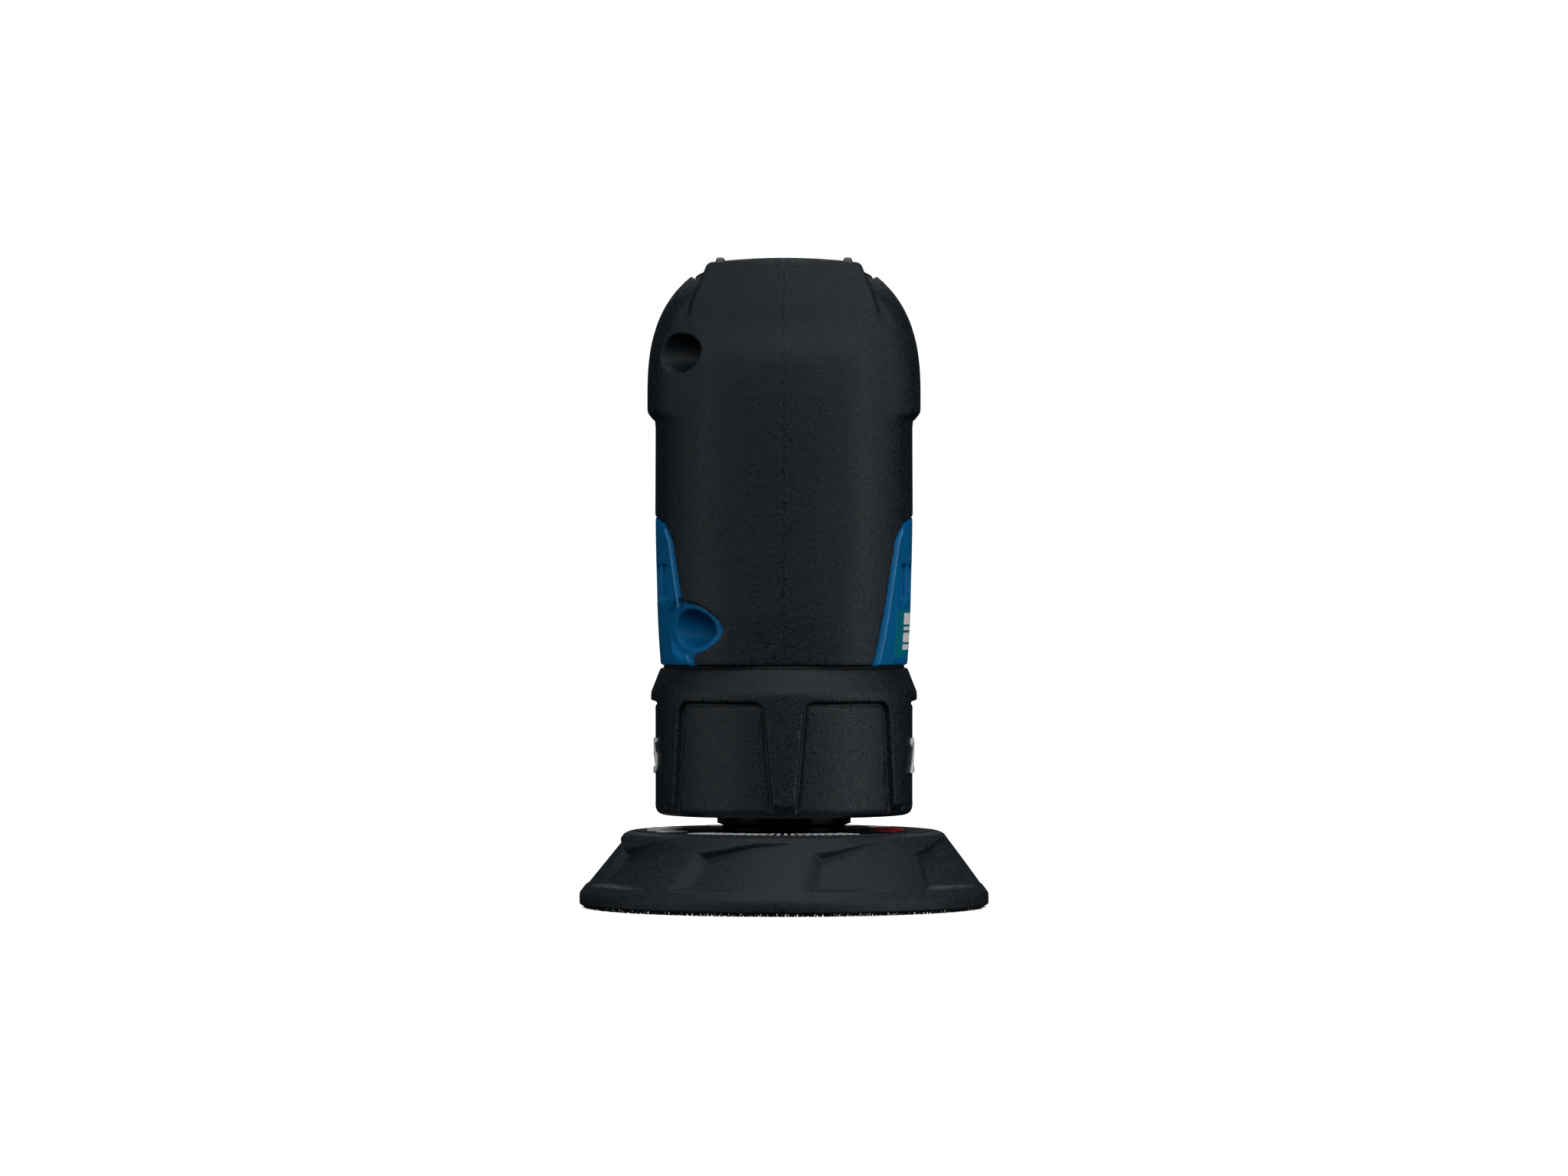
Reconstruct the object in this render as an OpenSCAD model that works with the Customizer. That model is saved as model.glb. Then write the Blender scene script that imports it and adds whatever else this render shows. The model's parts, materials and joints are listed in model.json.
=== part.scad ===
// Compact cordless random-orbit sander: a vertical motor barrel under a palm grip, a rear
// handle that holds a slide-in battery, a twist-lock orbit collar and a small tapered pad.
//
// +Z is up and the motor's axis is Z. The origin lies on the pad's working face, on that axis.
// The handle points to +Y and the rounded nose to -Y, and the two housing halves meet at X = 0.

/* [Pad] */
// Diameter of the backing pad at its rim
pad_d = 75; // [70:1:80]
// Height of the pad's top face above its working face
pad_top = 14.1; // [13:0.1:15]
// Number of cooling vanes moulded into the pad's flank
vane_count = 9; // [6:1:12]
// Distance from the motor's axis to the pad's axis, half of the orbit
orbit_offset = 1.25; // [1:0.05:1.5]

/* [Barrel] */
// Half width of the barrel where it meets the palm grip
barrel_r = 23.6; // [23.2:0.1:24]
// Half width of the barrel at its foot
foot_r = 22.6; // [22:0.1:23]
// Height of the barrel's foot above the working face
foot_z = 44.5; // [44.3:0.1:45]

/* [Collar] */
// Radius of the collar over its ribs
collar_r = 24.4; // [24:0.1:25]
// Number of grip panels round the collar
panel_count = 6; // [3:1:8]

/* [Grip] */
// Half width of the palm grip at its widest
palm_w = 25; // [24.5:0.1:25.5]
// Height of the overhanging lip under the palm grip
lip_z = 89.4; // [89:0.1:90]
// Height of the nose above the working face
nose_top = 117.6; // [117:0.1:118]
// Distance from the motor's axis to the handle's rear face
handle_end = 96; // [94:1:98]
// Height of the handle's underside at its rear
handle_z = 62; // [61.5:0.5:63]

/* [Controls] */
// Downward turn of the paddle when it is pressed fully, in degrees
paddle_press = 3; // [2:0.5:3]
// Diameter of the speed wheel
dial_d = 14; // [13:0.5:14.5]

/* [Hidden] */
$fn = 64;
eps = 0.05;

// Colours
black = [0.11, 0.12, 0.13];
blue = [0.01, 0.22, 0.36];
steel = [0.72, 0.73, 0.75];
alloy = [0.62, 0.64, 0.66];
copper = [0.72, 0.38, 0.16];
green = [0.05, 0.3, 0.14];
red = [0.62, 0.06, 0.05];
rubber = [0.06, 0.06, 0.065];

// Wall thicknesses: the soft grip lies on the shell, and the shell's inside is the cavity
grip_t = 1.2;
shell_out = grip_t + eps;
shell_in = 3;

// Screws that pull the halves together, each [y, z, radius of its access hole]
clam_y = -15.2;
clam = [[clam_y, 51.2, 3.5], [clam_y, 100.9, 3.6], [24, 88, 3.2], [40, 106.4, 2.7], [88, 106.4, 2.7]];
clam_seat = -8.5;
clam_wall = 0.6;

// Heights along the motor's axis
race_z = 38;
fan_z = 56.5;
stator_z = 66;
stator_h = 22;
upper_z = 88.5;
collar_z = 17;

// Paddle and its pivot
pivot_y = -7.5;
pivot_z = 112.8;
paddle_end = 58;
paddle_w = 17;
paddle_low = 114.3;
skirt_z = 113.6;
plunger_y = 30;
pocket_floor = skirt_z - 0.4 - (paddle_end - pivot_y) * sin(paddle_press);

// Speed wheel
dial_y = 73;
dial_z = 118.2 - dial_d / 2;

// Battery: three cells in a triangle inside a slim case
cell_r = 9.2;
case_r = 10.45;
cell_x = 9.35;
cell_z = handle_z + 14.45;
cell_up = cell_z + 16.1;
case_y = 36.5;
case_end = 104;
pack_end = 118;

// Release buttons: place, size and the depth of their pockets
button_x = 22.2;
button_y = 109.4;
button_z = 84;
button_t = 3.4;
button_w = 8;
button_h = 13;
seat_x = 18;

// ---------- helpers ----------

// Superellipse quadrant value
function sup(v, n) = sign(v) * pow(abs(v), 2 / n);

// Skin through rings of equal length, listed from the lowest to the highest
module loft(rings) {
  n = len(rings[0]);
  m = len(rings);
  sides = [
    for (j = [0:m - 2], i = [0:n - 1])
      let (k = (i + 1) % n)
      each [
        [j * n + i, (j + 1) * n + i, (j + 1) * n + k],
        [j * n + i, (j + 1) * n + k, j * n + k]
      ]
  ];
  floor_face = [for (i = [0:n - 1]) i];
  roof_face = [for (i = [n - 1:-1:0]) (m - 1) * n + i];
  polyhedron(points = [for (r = rings, p = r) p], faces = concat([floor_face, roof_face], sides));
}

// A tube about Z
module ring(r_out, r_in, z0, z1) {
  translate([0, 0, z0])
    difference() {
      cylinder(r = r_out, h = z1 - z0);
      translate([0, 0, -1]) cylinder(r = r_in, h = z1 - z0 + 2);
    }
}

// A rod along X from x0 to x1
module rod_x(r, x0, x1, y, z) {
  translate([x0, y, z]) rotate([0, 90, 0]) cylinder(r = r, h = x1 - x0);
}

// A box between two corners
module block(a, b) {
  translate(a) cube(b - a);
}

// A compression spring about Z
module coil(r, wire, turns, h) {
  steps = turns * 10;
  loft([
    for (i = [0:steps])
      let (a = 36 * i, z = wire + (h - 2 * wire) * i / steps)
      [
        for (k = [0:4])
          let (b = -72 * k, q = r + wire * cos(b))
          [q * cos(a), q * sin(a), z + wire * sin(b)]
      ]
  ]);
}

// A toothed disc outline
module gear_outline(r, teeth, depth) {
  polygon([
    for (i = [0:2 * teeth - 1])
      let (a = 180 * i / teeth, q = i % 2 == 0 ? r : r - depth)
      [q * cos(a), q * sin(a)]
  ]);
}

// ---------- outer form ----------

// Barrel: half width, front and rear reach at a height
function barrel_w(z) = lookup(z, [
  [foot_z, foot_r], [49, barrel_r - 0.7], [56, barrel_r - 0.33], [63, barrel_r - 0.05], [70, barrel_r],
  [88, barrel_r - 0.05], [97, barrel_r - 0.3], [104, 22.4], [108, 20.6], [111, 18.6], [113.5, 16],
  [115.6, 12.6]
]);
function barrel_f(z) = lookup(z, [
  [foot_z, 21.4], [56, 21.8], [70, 22], [104, 22], [108, 21], [111, 19.4], [113.5, 17], [115.6, 13.4]
]);
barrel_rows = [foot_z, 49, 56, 63, 70, 79, 88, 97, 104, 108, 111, 113.5, 115.6];

module barrel(t, low) {
  rows = [for (z = barrel_rows) z == foot_z ? foot_z - low : z - (z > 100 ? t * (z - 100) / 15.6 : 0)];
  loft([
    for (i = [0:len(rows) - 1])
      let (z = barrel_rows[i], w = barrel_w(z) - t, f = barrel_f(z) - t)
      [
        for (k = [0:39])
          let (a = 9 * k, s = sup(sin(a), a < 180 ? 2 : 2.5))
          [w * sup(cos(a), 2.3), s * (s < 0 ? f : w), rows[i]]
      ]
  ]);
}

// Handle with the palm grip on top: each row is [y, width below the lip, width above, underside, top]
handle_rows = [
  [-16, 15, 18.4, 86, 114.6], [-10, 19.4, 22.4, 84, 116.6], [-4, 21.6, 24.3, 80, 117.3],
  [2, 22.8, palm_w, 76, 117.4], [12, 23, palm_w, 70.5, 117.4], [20, 23.1, palm_w, 66.2, 117.3],
  [28, 23.2, palm_w, handle_z + 1.6, 117.2], [38, 23.2, 24.9, handle_z + 0.2, 117],
  [54, 23.2, 24.7, handle_z, 116.7], [70, 23.2, 24.5, handle_z, 116.2], [84, 23.2, 24.3, handle_z, 115.6],
  [handle_end, 23.2, 24, handle_z, 114.8]
];

// Dome of the palm grip: share of the half width against share of the height
dome = [
  [1, 0], [0.985, 0.24], [0.943, 0.467], [0.91, 0.582], [0.867, 0.697], [0.8, 0.811], [0.746, 0.873],
  [0.68, 0.918], [0.6, 0.955], [0.4, 0.985]
];

function handle_ring(r, t) =
  let (
    low = r[1] - t,
    wide = r[2] - t,
    mid = 78,
    under = r[3] + t,
    top = r[4] - t,
    half = concat(
      [for (a = [-90:15:0]) [low * sup(cos(a), 3.2), mid + max(mid - under, -8) * sup(sin(a), 3.2)]],
      [[low, lip_z - 2 + t], [wide, lip_z + 0.6 + t * 0.6]],
      [for (d = dome) [wide * d[0], 93 + (top - 93) * d[1]]]
    )
  )
  concat(half, [[0, top]], [for (i = [len(half) - 1:-1:1]) [-half[i][0], half[i][1]]]);

module handle(t, far) {
  last = len(handle_rows) - 1;
  rotate([90, 0, 0])
    loft([
      for (i = [last:-1:0])
        let (y = i == last ? handle_end + far : handle_rows[i][0] + (i == 0 ? t : 0))
        [for (p = handle_ring(handle_rows[i], t)) [p[0], p[1], -y]]
    ]);
}

// Nose: a raised tapered block that carries the barrel's rounded front on to the top
nose_rows = [
  [100, 18.6, 21.5], [104, 18, 21.9], [109, 17.1, 22], [111, 16.4, 21.7], [114.9, 15, 20.9],
  [nose_top - 0.9, 14.3, 20.2], [nose_top - 0.25, 13.6, 19.6], [nose_top + 0.3, 7, 18.2]
];

function nose_front(x, f) = -f * pow(1 - pow(abs(x) / barrel_r, 2.5), 0.42);

module nose(t) {
  loft([
    for (r = nose_rows)
      let (w = r[1] - t, f = r[2] - t, b = -9 + t)
      concat(
        [for (i = [0:14]) let (x = w * sin(12.857 * i - 90)) [x, nose_front(x, f), r[0] - t]],
        [[w, b, r[0] - t], [0, b, r[0] - t], [-w, b, r[0] - t]]
      )
  ]);
}

module body(t, low = 0, far = 0) {
  barrel(t, low);
  handle(t, far);
  nose(t);
}

// Outline of the blue side panels in the side view
module panel_outline(grow) {
  offset(delta = grow)
    polygon([
      [-17, 30], [-15.9, foot_z], [-14.3, 55.7], [-10.5, 69], [-9.4, 70.8], [-7.5, 71.5], [0, 71.7],
      [9, 72.6], [18, 75.8], [27, 79.4], [40, 81.2], [70, 82.4], [handle_end + 4, 83], [handle_end + 4, 30]
    ]);
}

module panel_zone(grow) {
  for (s = [-1, 1])
    intersection() {
      rotate([90, 0, 90])
        translate([0, 0, s > 0 ? 0 : -40])
          linear_extrude(40) panel_outline(grow);
      translate([s * (24.5 - grow), 40, 70]) cube([30, 200, 120], center = true);
    }
}

// The lower access hole's blue collar breaks through the grip
module boss_zone(grow) {
  rod_x(4.7 + grow, -30, 0, clam[0][0], clam[0][1]);
}

// Room for the paddle, its pivot and the speed wheel
module top_pocket(grow) {
  w = paddle_w + 0.5 + grow;
  block([-w, pivot_y - 5.2 - grow, pocket_floor - grow], [w, paddle_end + 0.6 + grow, 130]);
  slot_floor = dial_z - dial_d / 2 - 0.6 - min(grow, 0.5);
  block([-3.2 - grow, dial_y - 7.8 - grow, slot_floor], [3.2 + grow, dial_y + 7.8 + grow, 130]);
}

// Outlets round the fan and inlets along the handle
module vents() {
  for (s = [-1, 1], i = [0:4])
    rotate([0, 0, -90 + s * (70.5 + 11.7 * i)]) block([16, -1.65, 56.2], [30, 1.65, 62.7]);
  for (s = [-1, 1], i = [0:3])
    translate([s * 20, 33 + 5 * i, 0]) block([-6, -1.2, 70], [6, 1.2, 77]);
}

module side(s) {
  intersection() {
    children();
    translate([s * (50 + 0.03), 40, 80]) cube([100, 200, 200], center = true);
  }
}

// ---------- housing ----------

module shell_half(s) {
  difference() {
    side(s) {
      difference() {
        union() {
          body(shell_out);
          intersection() {
            body(0);
            union() {
              panel_zone(-0.12);
              if (s < 0) boss_zone(-0.12);
            }
          }
        }
        difference() {
          body(shell_in, 2, 6);
          top_pocket(2);
          shell_ribs();
          for (c = clam) rod_x(s < 0 ? c[2] + clam_wall : 3.2, -30, 30, c[0], c[1]);
          for (a = [0, 90, 180])
            rotate([0, 0, a])
              translate([16.2, 0, 46.8]) {
                cylinder(r = 3.4, h = 7);
                block([0, -1.6, 0], [4.8, 1.6, 7]);
              }
        }
      }
    }
    top_pocket(0);
    vents();
    translate([0, plunger_y, 100]) cylinder(r = 2.4, h = 20);
    rod_x(1.52, -18.1, 18.1, pivot_y, pivot_z);
    translate([0, 0, 86]) cylinder(r = 12.9, h = 10.2);
    for (a = [0, 90, 180]) rotate([0, 0, a]) translate([16.2, 0, 40]) cylinder(r = 1.35, h = 12.2);
    for (c = clam) {
      if (s < 0) {
        rod_x(c[2], -40, clam_seat, c[0], c[1]);
        rod_x(1.7, -20, 1, c[0], c[1]);
      } else {
        rod_x(1.45, -1, 10.2, c[0], c[1]);
      }
    }
    if (s > 0) rod_x(2.6, 3, 6.4, dial_y, dial_z);
  }
}

// Seats for the stator and the upper bearing
module shell_ribs() {
  difference() {
    union() {
      ring(30, 19.1, 70, 72);
      ring(30, 19.1, 82, 84);
      ring(30, 12.9, 90.8, 94.8);
    }
    block([-30, 14, 60], [30, 60, 100]);
  }
}

module housing_left() {
  color(blue) resize([0, 0, 0]) shell_half(-1, $fn = 24);
}

module housing_right() {
  color(blue) resize([0, 0, 0]) shell_half(1, $fn = 24);
}

module grip_half(s) {
  difference() {
    side(s) difference() {
      body(0);
      body(grip_t, 2, 2);
    }
    panel_zone(0);
    top_pocket(0);
    if (s < 0) {
      boss_zone(0);
      for (c = clam) rod_x(c[2], -40, clam_seat, c[0], c[1]);
    }
    rod_x(1.52, -18.1, 18.1, pivot_y, pivot_z);
  }
}

module grip_left() {
  color(black) resize([0, 0, 0]) grip_half(-1, $fn = 24);
}

module grip_right() {
  color(black) resize([0, 0, 0]) grip_half(1, $fn = 24);
}

module clamshell_screws() {
  color(steel)
    for (c = clam)
      difference() {
        union() {
          rod_x(2.6, clam_seat - 2, clam_seat - 0.02, c[0], c[1]);
          rod_x(1.4, clam_seat - 1, 10, c[0], c[1]);
        }
        translate([clam_seat - 2.1, c[0], c[1]]) rotate([0, 90, 0]) cylinder(r = 1.3, h = 1.3, $fn = 6);
      }
}

// ---------- motor ----------

module stator_core() {
  color(alloy)
    translate([0, 0, stator_z])
      linear_extrude(stator_h)
        difference() {
          union() {
            difference() {
              circle(r = 18.8);
              circle(r = 16.2);
            }
            for (a = [30:60:330])
              rotate(a) {
                translate([13.4, -2.2]) square([4, 4.4]);
                intersection() {
                  difference() {
                    circle(r = 13.8);
                    circle(r = 11.4);
                  }
                  translate([11, -5]) square([4, 10]);
                }
              }
          }
          for (a = [30:120:270]) rotate(a) translate([19.1, 0]) circle(r = 1);
        }
}

module stator_windings() {
  color(copper)
    for (a = [30:60:330])
      rotate([0, 0, a])
        difference() {
          block([13.9, -4.2, stator_z - 2.6], [15.6, 4.2, stator_z + stator_h + 2.6]);
          block([13, -2.25, stator_z - 0.05], [17, 2.25, stator_z + stator_h + 0.05]);
        }
}

module motor_shaft() {
  color(steel) {
    translate([0, 0, 34.2]) cylinder(r = 4.98, h = 16);
    translate([0, 0, 50]) cylinder(r = 6, h = 5.5);
    translate([0, 0, 55]) cylinder(r = 4.4, h = 33);
    translate([0, 0, 87]) cylinder(r = 3.98, h = 9.2);
  }
}

module rotor_magnets() {
  color(alloy)
    difference() {
      union() {
        ring(9.4, 4.42, stator_z - 1, stator_z + stator_h + 0.3);
        for (a = [0:90:270])
          rotate([0, 0, a])
            intersection() {
              ring(11, 9, stator_z, stator_z + stator_h);
              rotate([0, 0, -38]) translate([0, 0, 60]) rotate_extrude(angle = 76) square([14, 40]);
            }
      }
      for (a = [45:90:315]) rotate([0, 0, a]) translate([6.9, 0, 60]) cylinder(r = 1, h = 40);
    }
}

module cooling_fan() {
  color(black)
    difference() {
      union() {
        ring(7, 4.42, fan_z, fan_z + 6.2);
        ring(18, 6, fan_z, fan_z + 1.2);
        ring(18, 16.9, fan_z, fan_z + 2);
        for (a = [0:30:330])
          rotate([0, 0, a]) translate([6, 0, fan_z]) rotate([0, 0, 22]) block([0, -0.5, 0], [10.6, 0.5, 6]);
      }
      ring(30, 17.99, fan_z - 1, fan_z + 9);
    }
}

module race_pair(r_in, r_out, h, part) {
  mid = (r_in + r_out) / 2;
  ball = (r_out - r_in) * 0.27;
  difference() {
    union() {
      if (part == "outer") ring(r_out, mid + ball * 0.55, 0, h);
      if (part == "inner") ring(mid - ball * 0.55, r_in, 0, h);
    }
    rotate_extrude() translate([mid, h / 2]) circle(r = ball + 0.06);
  }
  if (part == "outer") {
    for (i = [0:8]) rotate([0, 0, 40 * i]) translate([mid, 0, h / 2]) sphere(r = ball);
    ring(mid + ball * 0.3, mid - ball * 0.3, h / 2 - ball * 0.5, h / 2 + ball * 0.5);
  }
}

module lower_bearing() {
  color(steel) translate([0, 0, race_z]) race_pair(5, 13, 8, "outer");
}

module lower_inner_race() {
  color(steel) translate([0, 0, race_z]) race_pair(5, 13, 8, "inner");
}

module upper_bearing() {
  color(steel) translate([0, 0, upper_z]) race_pair(4, 11, 7, "outer");
}

module upper_inner_race() {
  color(steel) translate([0, 0, upper_z]) race_pair(4, 11, 7, "inner");
}

module upper_bearing_cup() {
  color(rubber)
    difference() {
      ring(12.75, 11.02, upper_z - 0.4, upper_z + 7.3);
      for (a = [0:45:315]) rotate([0, 0, a]) translate([12.9, 0, 80]) cylinder(r = 0.5, h = 20);
    }
}

module bearing_bracket() {
  color(alloy)
    difference() {
      union() {
        ring(20.9, 13.02, 37.4, foot_z - 0.1);
        ring(18.2, 12, foot_z - 1, 46.7);
        ring(14, 9.5, 46, 46.7);
        for (a = [0:120:240])
          rotate([0, 0, a - 12]) rotate_extrude(angle = 24) translate([20, 39.4]) square([1.75, 1.8]);
      }
      ring(13.02, 5, 37, 46.05);
      for (a = [0, 90, 180]) rotate([0, 0, a]) translate([16.2, 0, 36]) cylinder(r = 1.4, h = 20);
      for (a = [0, 90, 180]) rotate([0, 0, a]) translate([16.2, 0, 36]) cylinder(r = 2.8, h = 5);
      for (a = [45, 135, 225, 315]) rotate([0, 0, a]) translate([16.8, 0, 36]) cylinder(r = 1.9, h = 6.5);
    }
}

module bracket_screws() {
  color(steel)
    for (a = [0, 90, 180])
      rotate([0, 0, a])
        translate([16.2, 0, 0])
          difference() {
            union() {
              translate([0, 0, 38.6]) cylinder(r = 2.6, h = 2.38);
              translate([0, 0, 40]) cylinder(r = 1.3, h = 12);
            }
            translate([0, 0, 38]) cylinder(r = 1.2, h = 1.8, $fn = 6);
          }
}

// ---------- orbit drive ----------

// Radial rods where the counterweight's screws go, from radius r0 to r1
module weight_rods(r, r0, r1) {
  for (a = [-125, -55]) rotate([0, 0, a]) rod_x(r, r0, r1, 0, 24.5);
}

module orbit_hub() {
  color(steel)
    difference() {
      union() {
        translate([0, orbit_offset, 20]) cylinder(r = 13.7, h = 14.6);
        translate([0, 0, 34]) cylinder(r = 8, h = 3.4);
      }
      translate([0, orbit_offset, 19]) cylinder(r = 12.01, h = 13.7);
      translate([0, orbit_offset, 30]) cylinder(r = 9.5, h = 4);
      translate([0, 0, 30]) cylinder(r = 5, h = 10);
      weight_rods(1.25, 10, 16);
    }
}

module counterweight() {
  color(steel)
    difference() {
      translate([0, 0, 21.5])
        rotate([0, 0, -170])
          rotate_extrude(angle = 160) translate([8, 0]) square([10.4, 12.5]);
      translate([0, orbit_offset, 20]) cylinder(r = 13.73, h = 20);
      weight_rods(1.3, 10, 22);
      weight_rods(2.3, 16.6, 22);
    }
}

module counterweight_screws() {
  color(steel)
    difference() {
      union() {
        weight_rods(1.2, 12.9, 17);
        weight_rods(2.2, 16.65, 18.05);
      }
      weight_rods(1, 17.3, 20, $fn = 6);
    }
}

module pad_bearing_outer() {
  color(steel)
    on_spindle() for (z = [20.4, 26.5]) translate([0, 0, z]) race_pair(6, 12, 6, "outer");
}

module pad_bearing_inner() {
  color(steel)
    on_spindle() for (z = [20.4, 26.5]) translate([0, 0, z]) race_pair(6, 12, 6, "inner");
}

module pad_spindle() {
  color(steel)
    on_spindle()
      difference() {
        union() {
          rotate_extrude()
            polygon([
              [0, 15], [10.9, 15], [12.25, 15.45], [12.25, 18.6], [11.6, 19.2], [7.4, 19.2],
              [7.4, 20.35], [5.98, 20.35], [5.98, 33.6], [5.5, 33.8], [0, 33.8]
            ]);
        }
        translate([0, 0, 14]) cylinder(r = 4.05, h = 13);
        for (s = [-1, 1]) translate([0, s * 16.2, 17]) cube([30, 10, 4.6], center = true);
        ring(8, 5.4, 32.72, 33.3);
      }
}

module spindle_circlip() {
  color(steel)
    on_spindle()
      difference() {
        ring(7.4, 5.45, 32.76, 33.26);
        block([-1.6, 4, 32], [1.6, 9, 34]);
      }
}

// ---------- collar ----------

module collar_profile() {
  rotate_extrude()
    polygon([
      [21.3, 19.4], [18.5, 18.6], [18.5, collar_z + 0.6], [19.1, collar_z], [22, collar_z],
      [23, collar_z + 0.45], [23.6, collar_z + 1.5], [collar_r, collar_z + 2.6], [collar_r, 39.2],
      [24.1, 39.9], [foot_r, 43.87], [21.3, 43.87], [21.3, 41.5], [22, 41.2], [22, 39.1], [21.3, 38.8]
    ]);
}

// One grip panel's outline, seen along the radius
module panel_cut(a) {
  rotate([0, 0, a - 90])
    intersection() {
      ring(30, 23.55, 15, 37.6);
      rotate([90, 0, 90])
        linear_extrude(30)
          polygon([[-10.6, 14], [10.6, 14], [8.7, 36.4], [7.5, 37.7], [-7.5, 37.7], [-8.7, 36.4]]);
    }
}

module orbit_collar() {
  color(black)
    difference() {
      collar_profile();
      for (i = [0:panel_count - 1]) panel_cut((i + 0.5) * 360 / panel_count);
    }
}

module collar_seal() {
  color(rubber)
    rotate_extrude()
      polygon([[21.35, 43.9], [22.1, 43.9], [22, 44.35], [21.45, 44.35]]);
}

// ---------- pad ----------

hook_t = 1.22;
vane_wall = 7.7;
flank = atan2(37.5 - 30, 12.6 - 2.8);

module pad_vane(a) {
  rotate([0, 0, a - 90])
    translate([pad_d / 2 - 0.1, 0, 2.9])
      rotate([0, -flank, 0])
        translate([-1.5, 0, 2])
          linear_extrude(8.4)
            polygon([[0, 0], [4, -0.3], [6, 15], [-1.7, 15.6]]);
}

// Everything on the pad turns about the spindle, which stands beside the motor's axis
module on_spindle() {
  translate([0, orbit_offset, 0]) children();
}

module pad_body() {
  color([0.17, 0.18, 0.19])
    on_spindle() difference() {
      rotate_extrude()
        polygon([
          [0, hook_t + 0.03], [36.9, hook_t + 0.03], [pad_d / 2, 1.6], [pad_d / 2, 2.8], [30.2, 12.4],
          [29.6, 13.2], [28.4, pad_top], [27.2, pad_top], [27.2, pad_top - 0.3], [0, pad_top - 0.3]
        ]);
      translate([0, 0, 7.9]) cylinder(r = 30, h = 2.4);
      translate([0, 0, 9]) cylinder(r = 11.6, h = 10);
      for (i = [0:vane_count - 1]) pad_vane(vane_wall + i * 360 / vane_count);
    }
}

module backing_plate() {
  color(steel)
    on_spindle() difference() {
      union() {
        translate([0, 0, 8]) cylinder(r = 29.8, h = 2.2);
        translate([0, 0, 9]) cylinder(r = 11.4, h = 5.9);
      }
      translate([0, 0, 5]) cylinder(r = 3.97, h = 12);
      translate([0, 0, 7]) cylinder(r = 6.6, h = 2.6, $fn = 6);
      for (a = [0:60:300]) rotate([0, 0, a]) translate([21, 0, 7]) cylinder(r = 4, h = 5);
    }
}

module pad_stud() {
  color(steel)
    on_spindle() union() {
      translate([0, 0, 8.1]) cylinder(r = 6.4, h = 1.45, $fn = 6);
      translate([0, 0, 9]) cylinder(r = 3.95, h = 15.4);
      translate([0, 0, 24.4]) cylinder(r1 = 3.95, r2 = 3.2, h = 0.8);
    }
}

module pad_cover_disc() {
  color(black) on_spindle() ring(27, 11.7, pad_top - 0.26, pad_top + 0.06);
}

module hook_layer() {
  color(rubber)
    on_spindle() difference() {
      cylinder(r = 36.7, h = hook_t);
      for (a = [30:60:330]) rotate([0, 0, a]) translate([30, 0, 0.9]) cylinder(r = 0.8, h = 2);
    }
}

// ---------- paddle, switch and speed wheel ----------

module paddle_plan() {
  translate([0, 0, 90])
    linear_extrude(40)
      polygon([
        [-14, pivot_y - 4.8], [14, pivot_y - 4.8], [16.4, pivot_y - 3], [paddle_w, pivot_y + 1],
        [paddle_w, 30], [16, 50], [13.4, 56.6], [10, paddle_end], [-10, paddle_end],
        [-13.4, 56.6], [-16, 50], [-paddle_w, 30], [-paddle_w, pivot_y + 1], [-16.4, pivot_y - 3]
      ]);
}

module paddle_section() {
  translate([0, paddle_end + 1, 0])
    rotate([90, 0, 0])
      linear_extrude(paddle_end + 14)
        polygon([
          [-paddle_w, skirt_z], [-15.6, skirt_z], [-15.2, paddle_low], [15.2, paddle_low],
          [15.6, skirt_z], [paddle_w, skirt_z], [paddle_w, 115.3], [15, 116.2], [11, 116.7],
          [5, 116.9], [-5, 116.9],
          [-11, 116.7], [-15, 116.2], [-paddle_w, 115.3]
        ]);
}

module paddle() {
  color(black)
    difference() {
      union() {
        intersection() {
          paddle_section();
          paddle_plan();
        }
        for (s = [-1, 1]) {
          rod_x(2.3, s * 13.5 - 1.6, s * 13.5 + 1.6, pivot_y, pivot_z);
          block([s * 13.5 - 1.6, pivot_y - 2.3, pivot_z], [s * 13.5 + 1.6, pivot_y + 2.3, 115]);
          translate([s * 11.6 - 0.85, 0, 0])
            rotate([90, 0, 90])
              linear_extrude(1.7)
                polygon([[-9.6, 116], [-9, 117.6], [-7.6, 118.4], [10, 118.4], [34, 117.4], [40, 116.2]]);
        }
      }
      rod_x(1.56, -19, 19, pivot_y, pivot_z);
      for (i = [0:5]) rod_x(1.1, -9, 9, 22 + 5 * i, 117.6);
    }
}

module paddle_pin() {
  color(steel) rod_x(1.5, -18, 18, pivot_y, pivot_z);
}

module paddle_spring() {
  color(steel)
    translate([0, 10, pocket_floor + 0.05]) coil(3, 0.35, 4, paddle_low - pocket_floor - 0.1);
}

module switch_body() {
  color(black)
    difference() {
      union() {
        block([-8, 18, 94.5], [8, 33.4, 106]);
        translate([0, plunger_y, 105]) cylinder(r = 3.6, h = 2.2);
        for (s = [-1, 1]) block([s * 5 - 0.4, 20, 92.3], [s * 5 + 0.4, 24, 95]);
      }
      translate([0, plunger_y, 98.5]) cylinder(r = 2.3, h = 12);
    }
}

module switch_plunger() {
  color(red)
    union() {
      translate([0, plunger_y, 102]) cylinder(r = 2.22, h = 11.2);
      translate([0, plunger_y, 113.2]) cylinder(r1 = 2.22, r2 = 1.6, h = 0.95);
    }
}

module speed_dial() {
  color(black)
    translate([0, dial_y, dial_z])
      rotate([0, 90, 0])
        difference() {
          translate([0, 0, -2.7]) linear_extrude(5.4) gear_outline(dial_d / 2, 24, 0.7);
          translate([0, 0, -4]) cylinder(r = 1.56, h = 8);
          for (s = [-1, 1]) translate([0, 0, s * 2.7]) cylinder(r = 4.6, h = 1.4, center = true);
        }
}

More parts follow.
